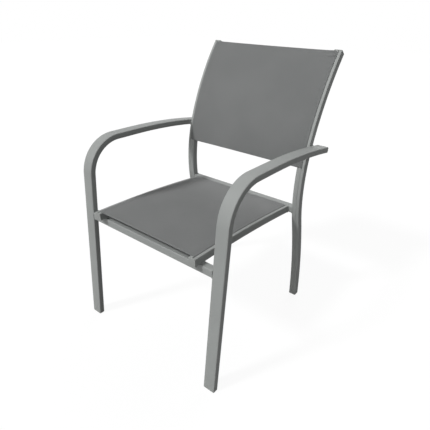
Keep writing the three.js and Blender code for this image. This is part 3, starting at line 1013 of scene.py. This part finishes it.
# %% [markdown]
# ## Loose-weave cloth
#
# Outdoor sling cloth is woven from polyester yarn in a grey vinyl coat. Its yarns cross over and
# under by turns, with a small hole at each corner. The hollows between the yarns and the holes
# are painted dark, which is painted shade. The weave could be modelled yarn by yarn, but half a
# million crossings are better as a height in the material: a checker says which yarn is on top,
# and each yarn is round across and arched along.

# %% Sling fabric
YARN_PITCH = 1.3 * MM
CLOTH_WARP = (0.194, 0.200, 0.199, 1)
CLOTH_WEFT = (0.147, 0.152, 0.151, 1)
# Painted shade: the colour of the hollows between the yarns and of the holes at the crossings
CLOTH_HOLE_SHADE = (0.048, 0.050, 0.050, 1)
CLOTH_FADED = (0.218, 0.223, 0.220, 1)
# Yarns stray by up to a share of their pitch, and the cloth is faded in places
STRAY, STRAY_SCALE, FADED_SHARE, FADED_SCALE = 0.35, 60, 0.25, 7
# A yarn's height where it dives, and the height that a yarn below reaches. A crest is 1
DIVE, BELOW = 0.45, 0.45


def sling_material():
    material, tree = new_material("sling_cloth")
    place_on_cut = tree.add("ShaderNodeUVMap", {"uv_map": "cut"})["UV"]
    coordinates = tree.coordinates()
    wobble = tree.noise(coordinates, STRAY_SCALE, 2)
    cut = tree.add("ShaderNodeSeparateXYZ", inputs={"Vector": place_on_cut})
    across = cut["X"] / YARN_PITCH + STRAY * wobble
    along = cut["Y"] / YARN_PITCH + STRAY * wobble
    in_across, in_along = across.part(), along.part()
    on_top = ((across.whole() + along.whole()) / 2).part() > 0.25
    round_warp = 1 - (2 * in_across - 1) ** 2
    round_weft = 1 - (2 * in_along - 1) ** 2
    arch_warp = DIVE + (1 - DIVE) * (math.pi * in_along).sine()
    arch_weft = DIVE + (1 - DIVE) * (math.pi * in_across).sine()
    warp = round_warp * arch_warp
    weft = round_weft * arch_weft
    top = warp * on_top + weft * (1 - on_top)
    under = BELOW * (weft * on_top + warp * (1 - on_top))
    height = top.at_least(under)
    color = tree.mix(on_top, CLOTH_WEFT, CLOTH_WARP)
    # Painted shade: the lower the weave's height, the darker, in the hollows and the holes
    color = tree.mix(1 - tree.ramp(height, 0.05, 0.4), color, CLOTH_HOLE_SHADE)
    faded = tree.ramp(tree.noise(coordinates, FADED_SCALE, 3), 0.35, 0.75)
    color = tree.mix(FADED_SHARE * faded, color, CLOTH_FADED)
    rough = 0.62 + 0.12 * wobble + 0.1 * (1 - height)
    looks = {"Base Color": color, "Roughness": rough, "Specular IOR Level": 0.3, "Sheen Weight": 0.2}
    close_material(tree, looks, height=height, distance=0.35 * MM, strength=0.6)
    return material


sling_cloth = sling_material()
print("sling cloth:", len(sling_cloth.node_tree.nodes), "nodes, yarns", YARN_PITCH / MM, "mm apart")

# %% [markdown]
# ## The slings
#
# Each sling is one stretched sheet. Its two long edges are folded round a plastic rod, the welt,
# slid into the slots and brought back under the cloth, where a seam holds them, so two layers fill
# the slot's mouth. Its two free edges are turned back and stitched, and its corners are cut back.
# Cloth simulation has nothing to do on a sheet this tight, so the sheet is laid out in code: a
# section that runs from one cut edge to the other, carried along the rails or the uprights. Every
# point keeps its place on the flat cut as a UV in metres, and the weave follows that. The back's
# top corners are gathered a little, the right one more, as the picture shows.

# %% The section of a sling, from one cut edge to the other
# Points round the rod, round the lip, over the middle, beside a tube and to the seam
HEM_CUTS, TURN_CUTS, FLAT_CUTS, BESIDE_CUTS, SEAM_CUTS = 24, 6, 30, 16, 5
# Beside the tubes they are closer together, for the gathered corners
BESIDE = 32 * MM
LAYER_GAP, LIFT = 0.1 * MM, 0.1 * MM
SEAM_WIDTH = 14 * MM
# Both layers fold over the lip, and this is how far the middle of each is from the fold's centre
UNDER = CLOTH / 2
OVER = 1.5 * CLOTH + LAYER_GAP


def slot_centre(outer_x):
    return outer_x - SLOT_EDGE - MOUTH / 2


def cloth_line(outer_x):
    """The middle of the cloth's thickness, as (x, depth): in under the top layer, round one welt,
    across the chair, round the other welt and back under."""
    slot_x = slot_centre(outer_x)
    lip = (slot_x + MOUTH / 2 - FIT - 2 * CLOTH - LAYER_GAP, -LIFT)
    loop_radius = WELT_RADIUS + FIT + CLOTH / 2
    first, last = (-math.acos((lip[0] + layer - slot_x) / loop_radius) for layer in (OVER, UNDER))
    half = [
        *[(x, lip[1] - OVER) for x in np.linspace(0, lip[0] - BESIDE, FLAT_CUTS)],
        *[(x, lip[1] - OVER) for x in np.linspace(lip[0] - BESIDE, lip[0], BESIDE_CUTS)[1:]],
        *arc(lip, OVER, -math.pi / 2, 0, TURN_CUTS)[1:],
        *arc((slot_x, SLOT_DEPTH), loop_radius, first, last + 2 * math.pi, HEM_CUTS),
        *arc(lip, UNDER, 0, -math.pi / 2, TURN_CUTS),
        *[(x, lip[1] - UNDER) for x in np.linspace(lip[0], lip[0] - SEAM_WIDTH, SEAM_CUTS)[1:]],
    ]
    half = np.array([point[:2] for point in half])
    return np.vstack([half[::-1] * [-1, 1], half[1:]])


def normals_of(line):
    """The direction out of the cloth's upper side at each point of its section."""
    steps = np.diff(line, axis=0)
    steps /= np.linalg.norm(steps, axis=1)[:, None]
    along = np.vstack([steps[:1], steps[:-1] + steps[1:], steps[-1:]])
    along /= np.linalg.norm(along, axis=1)[:, None]
    return np.stack([along[:, 1], -along[:, 0]], axis=1)


# %% A sling as a sheet
ROW_PITCH, FINE_PITCH = 5 * MM, 1.5 * MM
# The turned-back hem is a band that steps down, and ends clear of the side seams
HEM_BAND, HEM_STEP, HEM_HEIGHT, HEM_CLEAR = 13 * MM, 1.2 * MM, 1 * MM, 7 * MM
EDGE_ROUND, EDGE_ROWS, THINNEST = 0.6 * MM, (0.12, 0.4, 1), 0.2
# How far a free edge is pulled in, and how far into the cloth the pull is felt
EDGE_BOW, BOW_REACH = 1.2 * MM, 80 * MM
CORNER_CUT, CORNER_WIDTH, CORNER_REACH = 4 * MM, 12 * MM, 20 * MM
GATHER_REACH, GATHER_ROWS = 9 * MM, 28 * MM
# A ridge's distance from the free edge, its width and its share of the height
GATHER_RIDGES = ((3 * MM, 3.5 * MM, 0.8), (17 * MM, 4 * MM, 1.0))


class Sling:
    """A cloth between two tubes. Its free edges bow inwards a little and are cut back at the slots.
    The gathers are the heights, left and right, of the ridges that run into its far corners."""

    def __init__(self, path, outer_x, gathers, carriers):
        self.path = path
        self.outer_x = outer_x
        self.gathers = gathers
        self.carriers = carriers
        self.rods = []
        self.line = cloth_line(outer_x)
        self.half = slot_centre(outer_x) - MOUTH / 2
        self.total = float(path.lengths()[-1])

    def place_along(self, x, distance):
        """Where along the tubes a point of the cloth lies, from where it lay on the flat cut."""
        from_edge = min(distance, self.total - distance)
        towards_middle = 1 if distance < self.total / 2 else -1
        share = np.clip(1 - (x / self.half) ** 2, 0, 1)
        corner = np.clip((abs(x) - self.half + CORNER_WIDTH) / CORNER_WIDTH, 0, 1) ** 2
        pull = EDGE_BOW * share * max(0, 1 - from_edge / BOW_REACH)
        pull = pull + CORNER_CUT * corner * max(0, 1 - from_edge / CORNER_REACH)
        return distance + towards_middle * pull

    def hem_at(self, distance):
        """How much thicker the turned-back hem makes the cloth at a distance."""
        from_edge = min(distance, self.total - distance)
        return HEM_HEIGHT * float(np.clip((HEM_BAND - from_edge) / HEM_STEP, 0, 1))

    def gathered(self, x, distance):
        """How far the cloth stands off its tube where its far corners are gathered."""
        height = np.where(x > 0, self.gathers[1], self.gathers[0])
        beside = np.maximum(self.half - abs(x), 0) / GATHER_REACH
        from_top = self.total - distance
        ridges = sum(share * math.exp(-((from_top - at) / width) ** 2) for at, width, share in GATHER_RIDGES)
        return height * beside * np.exp(1 - beside) * ridges

    def at(self, x, depth, distance):
        """Points in space."""
        along = self.place_along(x, distance)
        depth = depth - self.gathered(x, distance)
        y, z, heading = (np.interp(along, self.path.lengths(), column) for column in self.path.rows.T)
        return np.stack([x + 0 * y, y + depth * np.cos(heading), z - depth * np.sin(heading)], axis=-1)

    def distances(self):
        """Even rows, and more where the hem steps down, the edge is rounded or a corner is gathered."""
        even = np.linspace(0, self.total, round(self.total / ROW_PITCH) + 1)
        near = np.array([*[EDGE_ROUND * part for part in EDGE_ROWS], HEM_BAND - HEM_STEP, HEM_BAND])
        fine = []
        if any(self.gathers):
            fine = np.arange(self.total - GATHER_ROWS, self.total - EDGE_ROUND, FINE_PITCH)
        rows = np.sort(np.concatenate([even, near, self.total - near, fine]))
        return rows[np.concatenate([[True], np.diff(rows) > SAME_PLACE])]


def sling_mesh(name, sling):
    """The sheet as a closed mesh, with the width and length of its flat cut."""
    line, normals = sling.line, normals_of(sling.line)
    cut_x = np.concatenate([[0], np.cumsum(np.linalg.norm(np.diff(line, axis=0), axis=1))])
    between_seams = (line[:, 1] < -OVER) & (abs(line[:, 0]) < sling.half - SEAM_WIDTH - HEM_CLEAR)
    distances = sling.distances()
    points = []
    for distance in distances:
        into_edge = min(1, min(distance, sling.total - distance) / EDGE_ROUND)
        closing = max(THINNEST, math.sqrt(1 - (1 - into_edge) ** 2))
        hem = sling.hem_at(distance) * between_seams
        for face in (1, -1):
            offset = face * closing * (CLOTH + hem) / 2 - hem / 2
            moved = line + normals * offset[:, None]
            points.append(sling.at(moved[:, 0], moved[:, 1], distance))
    count, rows = len(line), len(distances)

    # Each row holds the points of the upper face, and then those of the lower
    def index(row, face, i):
        return (row * 2 + face) * count + i

    end, last = count - 1, rows - 1
    quads = []
    for r in range(last):
        for i in range(end):
            quads.append((index(r, 0, i), index(r, 0, i + 1), index(r + 1, 0, i + 1), index(r + 1, 0, i)))
            quads.append((index(r, 1, i), index(r + 1, 1, i), index(r + 1, 1, i + 1), index(r, 1, i + 1)))
        quads.append((index(r, 0, 0), index(r + 1, 0, 0), index(r + 1, 1, 0), index(r, 1, 0)))
        quads.append((index(r, 0, end), index(r, 1, end), index(r + 1, 1, end), index(r + 1, 0, end)))
    for i in range(end):
        quads.append((index(0, 1, i), index(0, 1, i + 1), index(0, 0, i + 1), index(0, 0, i)))
        quads.append((index(last, 0, i), index(last, 0, i + 1), index(last, 1, i + 1), index(last, 1, i)))
    mesh = mesh_from(name, np.vstack(points).tolist(), faces=quads)
    corners = np.empty(len(mesh.loops), int)
    mesh.loops.foreach_get("vertex_index", corners)
    places = np.stack([cut_x[corners % count], distances[corners // (2 * count)]], axis=1)
    mesh.uv_layers.new(name="cut").data.foreach_set("uv", places.astype(np.float32).ravel())
    mesh.materials.append(sling_cloth)
    mesh.update()
    smooth(mesh, degrees=50)
    return mesh, (float(cut_x[-1]), sling.total)


# %% Lay both slings in their slots
SEAT_FRONT_GAP, SEAT_REAR_GAP = 7.7 * MM, 1.2 * MM
BACK_BOTTOM, BACK_TOP_GAP = 542 * MM, 5 * MM
seat_path = rail_path.between(
    rail_path.where(Y, rail_start - PLUG_RIM + SEAT_FRONT_GAP),
    rail_path.where(Y, rear_cross_front - SEAT_REAR_GAP),
)
back_path = upright_path.between(
    upright_path.where(Z, BACK_BOTTOM),
    upright_path.before_end(BACK_TOP_GAP - PLUG_RIM),
)
SLINGS = {
    "seat": Sling(seat_path, RAIL_OUTER, (0, 0), ["left_rail", "right_rail"]),
    "back": Sling(back_path, UPRIGHT_OUTER, (0.5 * MM, 3.4 * MM), ["left_back_post", "right_back_post"]),
}
for name, sling in SLINGS.items():
    mesh, sling.cut = sling_mesh(f"{name}_cloth", sling)
    sling.cloth = place(f"{name}_cloth", mesh, f"{name}_sling")
    print(name, "sling's flat cut:", [round(size / MM) for size in sling.cut], "mm")

# %% [markdown]
# ## Stitches
#
# Two seams hold each sling's pockets, beside the tubes, and one holds each turned-back edge. A
# stitch shows as a small bead of thread that dips into the cloth at both ends. A tree puts a
# stretched ball of few faces at even steps along a seam, since thousands of stitches are alike.

# %% The seam tree
STITCH_SEGMENTS, STITCH_RINGS, STITCH_UNEVEN = 6, 4, 0.1


def seam_tree():
    tree, given = geometry_tree("sew stitches along a seam", {
        "Pitch": "NodeSocketFloat",
        "Length": "NodeSocketFloat",
        "Width": "NodeSocketFloat",
        "Seed": "NodeSocketInt",
        "Material": "NodeSocketMaterial",
    })
    line = tree.add("GeometryNodeMeshToCurve", inputs={"Mesh": given["Geometry"]})
    spots = tree.add("GeometryNodeCurveToPoints", {"mode": "LENGTH"}, {
        "Curve": line["Curve"],
        "Length": given["Pitch"],
    })
    stitch = tree.add("GeometryNodeMeshUVSphere", inputs={
        "Segments": STITCH_SEGMENTS,
        "Rings": STITCH_RINGS,
        "Radius": 0.5,
    })
    # A random number's least and most go in at 2 and 3, and it comes out at 1
    uneven = tree.add("FunctionNodeRandomValue", {"data_type": "FLOAT"}, {
        "Seed": given["Seed"],
        2: 1 - STITCH_UNEVEN,
        3: 1 + STITCH_UNEVEN,
    })[1]
    size = tree.add("ShaderNodeCombineXYZ", inputs={
        "X": given["Width"],
        "Y": given["Width"],
        "Z": given["Length"] * uneven,
    })
    sewn = tree.add("GeometryNodeInstanceOnPoints", inputs={
        "Points": spots["Points"],
        "Instance": stitch["Mesh"],
        "Rotation": spots["Rotation"],
        "Scale": size["Vector"],
    })
    close_tree(tree, sewn["Instances"], given["Material"])
    return tree.nodes


SEAM = seam_tree()
print("seam tree:", len(SEAM.nodes), "nodes")

# %% Thread
TWIST = 2600
THREAD, THREAD_LIT = (0.150, 0.156, 0.155, 1), (0.215, 0.222, 0.220, 1)


def thread_material():
    material, tree = new_material("seam_thread")
    twist = tree.noise(tree.coordinates(), TWIST, 2)
    looks = {"Base Color": tree.mix(twist, THREAD, THREAD_LIT), "Roughness": 0.6 + 0.15 * twist}
    close_material(tree, looks, height=twist, distance=0.08 * MM)
    return material


thread = thread_material()
print("thread:", len(thread.node_tree.nodes), "nodes")

# %% Sew both slings
PITCH, STITCH_LENGTH, STITCH_WIDTH = 3.4 * MM, 2.8 * MM, 0.55 * MM
SEAM_INSET, SEAM_POINTS = 3 * MM, 60
TOP_DEPTH, LOW_DEPTH = -FIT - OVER - CLOTH / 2, -FIT - OVER + CLOTH / 2
SEWING_MACHINE = 11


def seam_line(sling, x, depth, distance):
    """Points of a seam, where either x or the distance is a row of numbers."""
    return [tuple(sling.at(across, depth, along)) for across, along in np.broadcast(x, distance)]


for name, sling in SLINGS.items():
    seam_x = sling.half - SEAM_WIDTH + SEAM_INSET
    rows = np.linspace(SEAM_INSET, sling.total - SEAM_INSET, SEAM_POINTS)
    reach = np.linspace(-seam_x + SEAM_INSET, seam_x - SEAM_INSET, SEAM_POINTS)
    seams = [seam_line(sling, x, depth, rows) for x in (-seam_x, seam_x) for depth in (TOP_DEPTH, -FIT)]
    for distance in (HEM_BAND - SEAM_INSET, sling.total - HEM_BAND + SEAM_INSET):
        for depth in (TOP_DEPTH, LOW_DEPTH + sling.hem_at(distance)):
            seams.append(seam_line(sling, reach, depth, distance))
    mesh = grown(f"{name}_stitches", SEAM, lines_object("seams", seams), {
        "Pitch": PITCH,
        "Length": STITCH_LENGTH,
        "Width": STITCH_WIDTH,
        "Seed": SEWING_MACHINE,
        "Material": thread,
    })
    smooth(mesh, degrees=60)
    sling.stitches = place(f"{name}_stitches", mesh)
    print(name, "stitches:", len(mesh.polygons) // (STITCH_SEGMENTS * STITCH_RINGS))

# %% [markdown]
# ## Welts
#
# The welt is a plain plastic rod, drawn through a die, so it carries faint lines along its length.
# The sweep tree makes it from a circle, along the bottom of the slot.

# %% Welt rods
DRAWN_LINES, LINE_STRETCH = 1500, (1, 0.05, 0.05)
WELT, WELT_DARK = (0.075, 0.078, 0.078, 1), (0.045, 0.047, 0.047, 1)


def drawn_plastic():
    """Extruded plastic with fine lines along the chair's length."""
    material, tree = new_material("welt_rod")
    coordinates = tree.coordinates()
    long = tree.add("ShaderNodeMapping", inputs={"Vector": coordinates, "Scale": LINE_STRETCH})["Vector"]
    lines = tree.noise(long, DRAWN_LINES, 2)
    looks = {"Base Color": tree.mix(lines * 0.5, WELT, WELT_DARK), "Roughness": 0.4 + 0.15 * lines}
    close_material(tree, looks, height=lines, distance=0.1 * MM)
    return material


welt_plastic = drawn_plastic()
for name, sling in SLINGS.items():
    for side_name, side in SIDES:
        line = sling.path.inward(SLOT_DEPTH).line(side * slot_centre(sling.outer_x))
        sling.rods.append(sweep(
            f"{side_name}_{name}_rod", f"{side_name}_{name}_welt", line, [ring(WELT_RADIUS)], welt_plastic
        ))

# %% [markdown]
# ## Plugs and glides
#
# Plastic plugs close the tube ends, and glides tip the legs. Each has a rim as wide as the tube,
# with an eased edge, and a ribbed stem that grips inside. Such a shape is a stack of outlines of
# the same kind, so it is lofted: every ring is the tube's rounded section, drawn in by a little at
# a height. That gives soft edges that catch light, which a bevelled box would not have in its
# corners.

# %% Moulded plastic
MOULD_GRAIN, MOULD_FLOW, GLIDE_RUBS = 1900, 45, 420
# Glides are scuffed all over up to the first height, and not above the second
RUBBED_TO, CLEAN_FROM = 0.5 * MM, 3 * MM
PLUG, PLUG_DARK = (0.300, 0.311, 0.301, 1), (0.255, 0.264, 0.256, 1)
GLIDE, GLIDE_DARK = (0.262, 0.271, 0.263, 1), (0.220, 0.228, 0.221, 1)
GLIDE_SCUFFED = (0.17, 0.165, 0.155, 1)


def moulded_plastic(name, color, dark, scuffed=None):
    """Grained injection-moulded plastic, scuffed near the floor if a colour for that is given."""
    material, tree = new_material(name)
    coordinates = tree.coordinates()
    grain = tree.noise(coordinates, MOULD_GRAIN, 3, 0.6)
    flow = tree.noise(coordinates, MOULD_FLOW, 3)
    shade = tree.mix(0.3 * grain + 0.4 * flow, color, dark)
    rough = 0.5 + 0.12 * grain
    if scuffed:
        height = tree.add("ShaderNodeSeparateXYZ", inputs={"Vector": coordinates})["Z"]
        near_floor = 1 - tree.ramp(height, RUBBED_TO, CLEAN_FROM)
        rubbed = near_floor * tree.ramp(tree.noise(coordinates, GLIDE_RUBS, 3), 0.4, 0.65)
        shade = tree.mix(rubbed, shade, scuffed)
        rough = rough + 0.2 * rubbed
    close_material(tree, {"Base Color": shade, "Roughness": rough}, height=grain, distance=0.12 * MM)
    return material


plug_plastic = moulded_plastic("moulded_plug", PLUG, PLUG_DARK)
foot_plastic = moulded_plastic("moulded_glide", GLIDE, GLIDE_DARK, GLIDE_SCUFFED)
print("plug:", len(plug_plastic.node_tree.nodes), "nodes, glide:", len(foot_plastic.node_tree.nodes), "nodes")

# %% Slot covers
STRIP_GAP, STRIP_SHOULDER, STRIP_EASE, STRIP_EASE_CUTS = 1 * MM, 1 * MM, 0.3 * MM, 4
STRIP_BARB, STRIP_BARB_DEPTH, STRIP_TIP, STRIP_TAIL = 2.2 * MM, 0.8 * MM, 1 * MM, 2.4 * MM


def strip_outline(slot_x):
    """A head that fills the mouth, with eased corners, and a barb behind the lips."""
    head = MOUTH / 2 - FIT
    shoulder = LIP + STRIP_SHOULDER
    right_side = [
        *arc((head - STRIP_EASE, STRIP_EASE), STRIP_EASE, -math.pi / 2, 0, STRIP_EASE_CUTS),
        (head, shoulder, 0.0),
        (STRIP_BARB, shoulder, 0.0),
        (STRIP_BARB, shoulder + STRIP_BARB_DEPTH, 0.0),
        (STRIP_TIP, shoulder + STRIP_BARB_DEPTH + STRIP_TAIL, 0.0),
    ]
    both = right_side + [(-x, depth, w) for x, depth, w in reversed(right_side)]
    return [(x + slot_x, depth, w) for x, depth, w in both]


strip_line = upright_path.between(
    upright_path.where(Z, foot_top),
    upright_path.where(Z, BACK_BOTTOM - STRIP_GAP),
).line()
strip = strip_outline(slot_centre(UPRIGHT_OUTER))
for name, side in SIDES:
    sweep(f"{name}_slot_cover", f"{name}_slot_strip", strip_line, [strip], plug_plastic, side, cuts=[level])

# %% Lofts
STEM, STEM_SLACK, RIBS, RIB = 20 * MM, 0.9 * MM, 3, 1.6 * MM
EASED, EASE_CUTS, SMALL_EDGE = 0.9 * MM, 5, 0.3 * MM
TIGHTEST_CORNER = 0.2 * MM


def lofted(name, rings, material):
    """A closed mesh through rings of equally many points."""
    count = len(rings[0])
    faces = [
        (r * count + i, r * count + (i + 1) % count, (r + 1) * count + (i + 1) % count, (r + 1) * count + i)
        for r in range(len(rings) - 1) for i in range(count)
    ]
    faces.append(tuple(range(count))[::-1])
    faces.append(tuple(range((len(rings) - 1) * count, len(rings) * count)))
    mesh = mesh_from(name, np.vstack(rings).tolist(), faces=faces)
    solid = bmesh.new()
    solid.from_mesh(mesh)
    if solid.calc_volume(signed=True) < 0:
        mesh.flip_normals()
    solid.free()
    mesh.materials.append(material)
    smooth(mesh)
    return mesh


def drawn_in(box, corner, by):
    """A rounded rectangle (low x, high x, low depth, high depth), drawn in on all sides."""
    low_x, high_x, low_y, high_y = box
    radius = max(corner - by, TIGHTEST_CORNER)
    return [point[:2] for point in rounded(low_x + by, high_x - by, low_y + by, high_y - by, radius)]


def eased_edge(low, high):
    """(draw-in, height) pairs of a rim with a small edge below and an eased one above."""
    quarter = np.linspace(0, math.pi / 2, EASE_CUTS)
    upper = [(EASED * (1 - math.cos(a)), high - EASED + EASED * math.sin(a)) for a in quarter]
    return [(SMALL_EDGE, low), (0, low + SMALL_EDGE), *upper]


def ribbed_stem(length):
    """(draw-in, height) pairs of a stem from its tip up to 0, with thin ribs."""
    pairs = [(2 * STEM_SLACK, -length), (STEM_SLACK, -length + STEM_SLACK)]
    for i in range(RIBS, 0, -1):
        foot = -length * i / (RIBS + 1)
        pairs += [(STEM_SLACK, foot - RIB), (FIT, foot - RIB + FIT), (FIT, foot - FIT), (STEM_SLACK, foot)]
    return pairs


def oriented(station, side, points, height):
    """Rings of (x, depth) across a tube, at a height beyond a station, along its heading."""
    y, z, heading = station
    x, depth = np.array(points).T
    return np.stack([
        side * x,
        y + depth * math.cos(heading) + height * math.sin(heading),
        z - depth * math.sin(heading) + height * math.cos(heading),
    ], axis=1)


def levelled(station, side, points, height):
    """The same, but with every point slid along the tube to one height above the floor."""
    ring_points = oriented(station, side, points, 0)
    heading = station[2]
    travel = (height - ring_points[:, 2]) / math.cos(heading)
    return ring_points + travel[:, None] * [0, math.sin(heading), math.cos(heading)]


# %% Every plug and glide
BEHIND_SLOT = SLOT_DEPTH + SLOT_RADIUS + SLOT_WALL
# A tube's box, its corner, its wall, and how deep its hollow starts
ARM_END = ((ARM_INNER, ARM_OUTER, 0, ARM_DEPTH), ARM_CORNER, ARM_WALL, ARM_WALL)
POST_END = ((UPRIGHT_INNER, UPRIGHT_OUTER, 0, UPRIGHT_DEPTH), EXTRUSION_CORNER, EXTRUSION_WALL, BEHIND_SLOT)
RAIL_END = ((RAIL_INNER, RAIL_OUTER, 0, RAIL_DEPTH), EXTRUSION_CORNER, EXTRUSION_WALL, BEHIND_SLOT)
# Title, CAD node, tube, the row of its path that it sits at, and which end that is
FITTINGS = (
    ("arm_end_plug", "arm_plug", ARM_END, arm_path.rows[-1], "far end"),
    ("post_cap", "top_plug", POST_END, upright_path.rows[-1], "far end"),
    ("rail_cap", "rail_plug", RAIL_END, rail_path.rows[0], "near end"),
    ("front_glide", "front_foot", ARM_END, arm_path.rows[0], "floor"),
    ("rear_glide", "rear_foot", POST_END, upright_path.rows[0], "floor"),
)


def fitting_rings(tube, station, where, side):
    """The rings of a stem from its tip, and then of its rim."""
    box, corner, wall, front = tube
    low_x, high_x, _, depth = box
    bore = (low_x + wall, high_x - wall, front, depth - wall)
    rim = eased_edge(0, FOOT_RIM) if where == "floor" else eased_edge(FIT, PLUG_RIM)
    stem_rings = [(drawn_in(bore, corner / 2, by), height) for by, height in ribbed_stem(STEM)]
    rim_rings = [(drawn_in(box, corner, by), height) for by, height in rim]
    for outline, height in stem_rings + rim_rings:
        if where == "floor":
            yield levelled(station, side, outline, FOOT_RIM - height)
        elif where == "near end":
            turned_back = [(x, -depth) for x, depth in outline]
            yield oriented(station + [0, 0, math.pi], side, turned_back, height)
        else:
            yield oriented(station, side, outline, height)


for title, node, tube, station, where in FITTINGS:
    for side_name, side in SIDES:
        material = foot_plastic if where == "floor" else plug_plastic
        mesh = lofted(f"{side_name}_{title}", list(fitting_rings(tube, station, where, side)), material)
        place(f"{side_name}_{title}", mesh, f"{side_name}_{node}")

# %% [markdown]
# ## Floor and light
#
# A studio shot on white. The key is high at the front left and fairly small, so that the left arm
# throws a soft band of shadow beside the left rail. A broad low light fills the front, a weaker
# one comes from behind, and an even fill reaches the rest. The white comes from the floor's and the
# sky's own glow, and only where the camera, a mirror or a glass looks at them, so the chair gets no
# light from it. The floor bounces little light up, and keeps the chair's shadow.

# %% Stage
# A lamp has the direction that it stands in, its width in degrees and its strength
LAMPS = {
    "key": (Vector((-0.45, -0.88, 1)), 9, 2.0),
    "front": (Vector((0.15, -0.95, 0.2)), 50, 1.1),
    "back": (Vector((-0.2, 0.7, 0.65)), 45, 0.85),
}
FILL = 0.22
FLOOR_HALF = 12
FLOOR_BOUNCE, FLOOR_SEEN, FLOOR_GLOW = (0.12, 0.12, 0.12, 1), (0.1, 0.1, 0.1, 1), 0.92
WHITE = (1, 1, 1, 1)


def shown(tree, usual, direct):
    """A shader that rays from the camera, from a mirror or through glass see in another way."""
    rays = tree.add("ShaderNodeLightPath")
    straight = rays["Is Camera Ray"].at_least(rays["Is Glossy Ray"]).at_least(rays["Is Transmission Ray"])
    return tree.add("ShaderNodeMixShader", inputs={0: straight, 1: usual, 2: direct})["Shader"]


world = bpy.data.worlds.new("studio")
world.use_nodes = True
world.node_tree.nodes.clear()
bpy.context.scene.world = world
tree = Tree(world.node_tree)
fill = tree.add("ShaderNodeBackground", inputs={"Color": WHITE, "Strength": FILL})["Background"]
white = tree.add("ShaderNodeBackground", inputs={"Color": WHITE, "Strength": 1.0})["Background"]
tree.add("ShaderNodeOutputWorld", inputs={"Surface": shown(tree, fill, white)})

for name, (direction, degrees, strength) in LAMPS.items():
    lamp = linked(name, bpy.data.lights.new(name, "SUN"))
    lamp.data.energy = strength
    lamp.data.angle = math.radians(degrees)
    lamp.rotation_mode = "QUATERNION"
    lamp.rotation_quaternion = direction.to_track_quat("Z", "Y")
print("lamps:", list(LAMPS), "fill:", FILL)

# %% The floor
floor_material, tree = new_material("studio_floor")
matte = tree.add("ShaderNodeBsdfDiffuse", inputs={"Color": FLOOR_BOUNCE})["BSDF"]
pale = tree.add("ShaderNodeBsdfDiffuse", inputs={"Color": FLOOR_SEEN})["BSDF"]
glow = tree.add("ShaderNodeEmission", inputs={"Color": WHITE, "Strength": FLOOR_GLOW})["Emission"]
lit = tree.add("ShaderNodeAddShader", inputs={0: pale, 1: glow})["Shader"]
tree.add("ShaderNodeOutputMaterial", inputs={"Surface": shown(tree, matte, lit)})
corners = [(x * FLOOR_HALF, y * FLOOR_HALF, 0) for x, y in ((-1, -1), (1, -1), (1, 1), (-1, 1))]
floor = linked("floor", mesh_from("floor", corners, faces=[(0, 1, 2, 3)]))
floor.data.materials.append(floor_material)
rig.stage(floor)
bpy.context.scene.view_settings.view_transform = "Standard"
print("floor:", 2 * FLOOR_HALF, "m square")

# %% [markdown]
# ## Say what the cloth is
#
# Each sling is declared as a sheet with the size that it was cut to.

for name, sling in SLINGS.items():
    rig.sheet(
        sling.cloth,
        flat=sling.cut,
        held="stretched",
        rests_on=sling.carriers,
        with_pieces=[*sling.rods, sling.stitches],
    )
    print(name, "sling:", [round(size, 4) for size in sling.cut], "m")

# %% Keep the size
low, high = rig.bounds()
with open("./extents.json", "w") as file:
    json.dump({"cad": [list(cad_low), list(cad_high)], "visual": [list(low), list(high)]}, file)
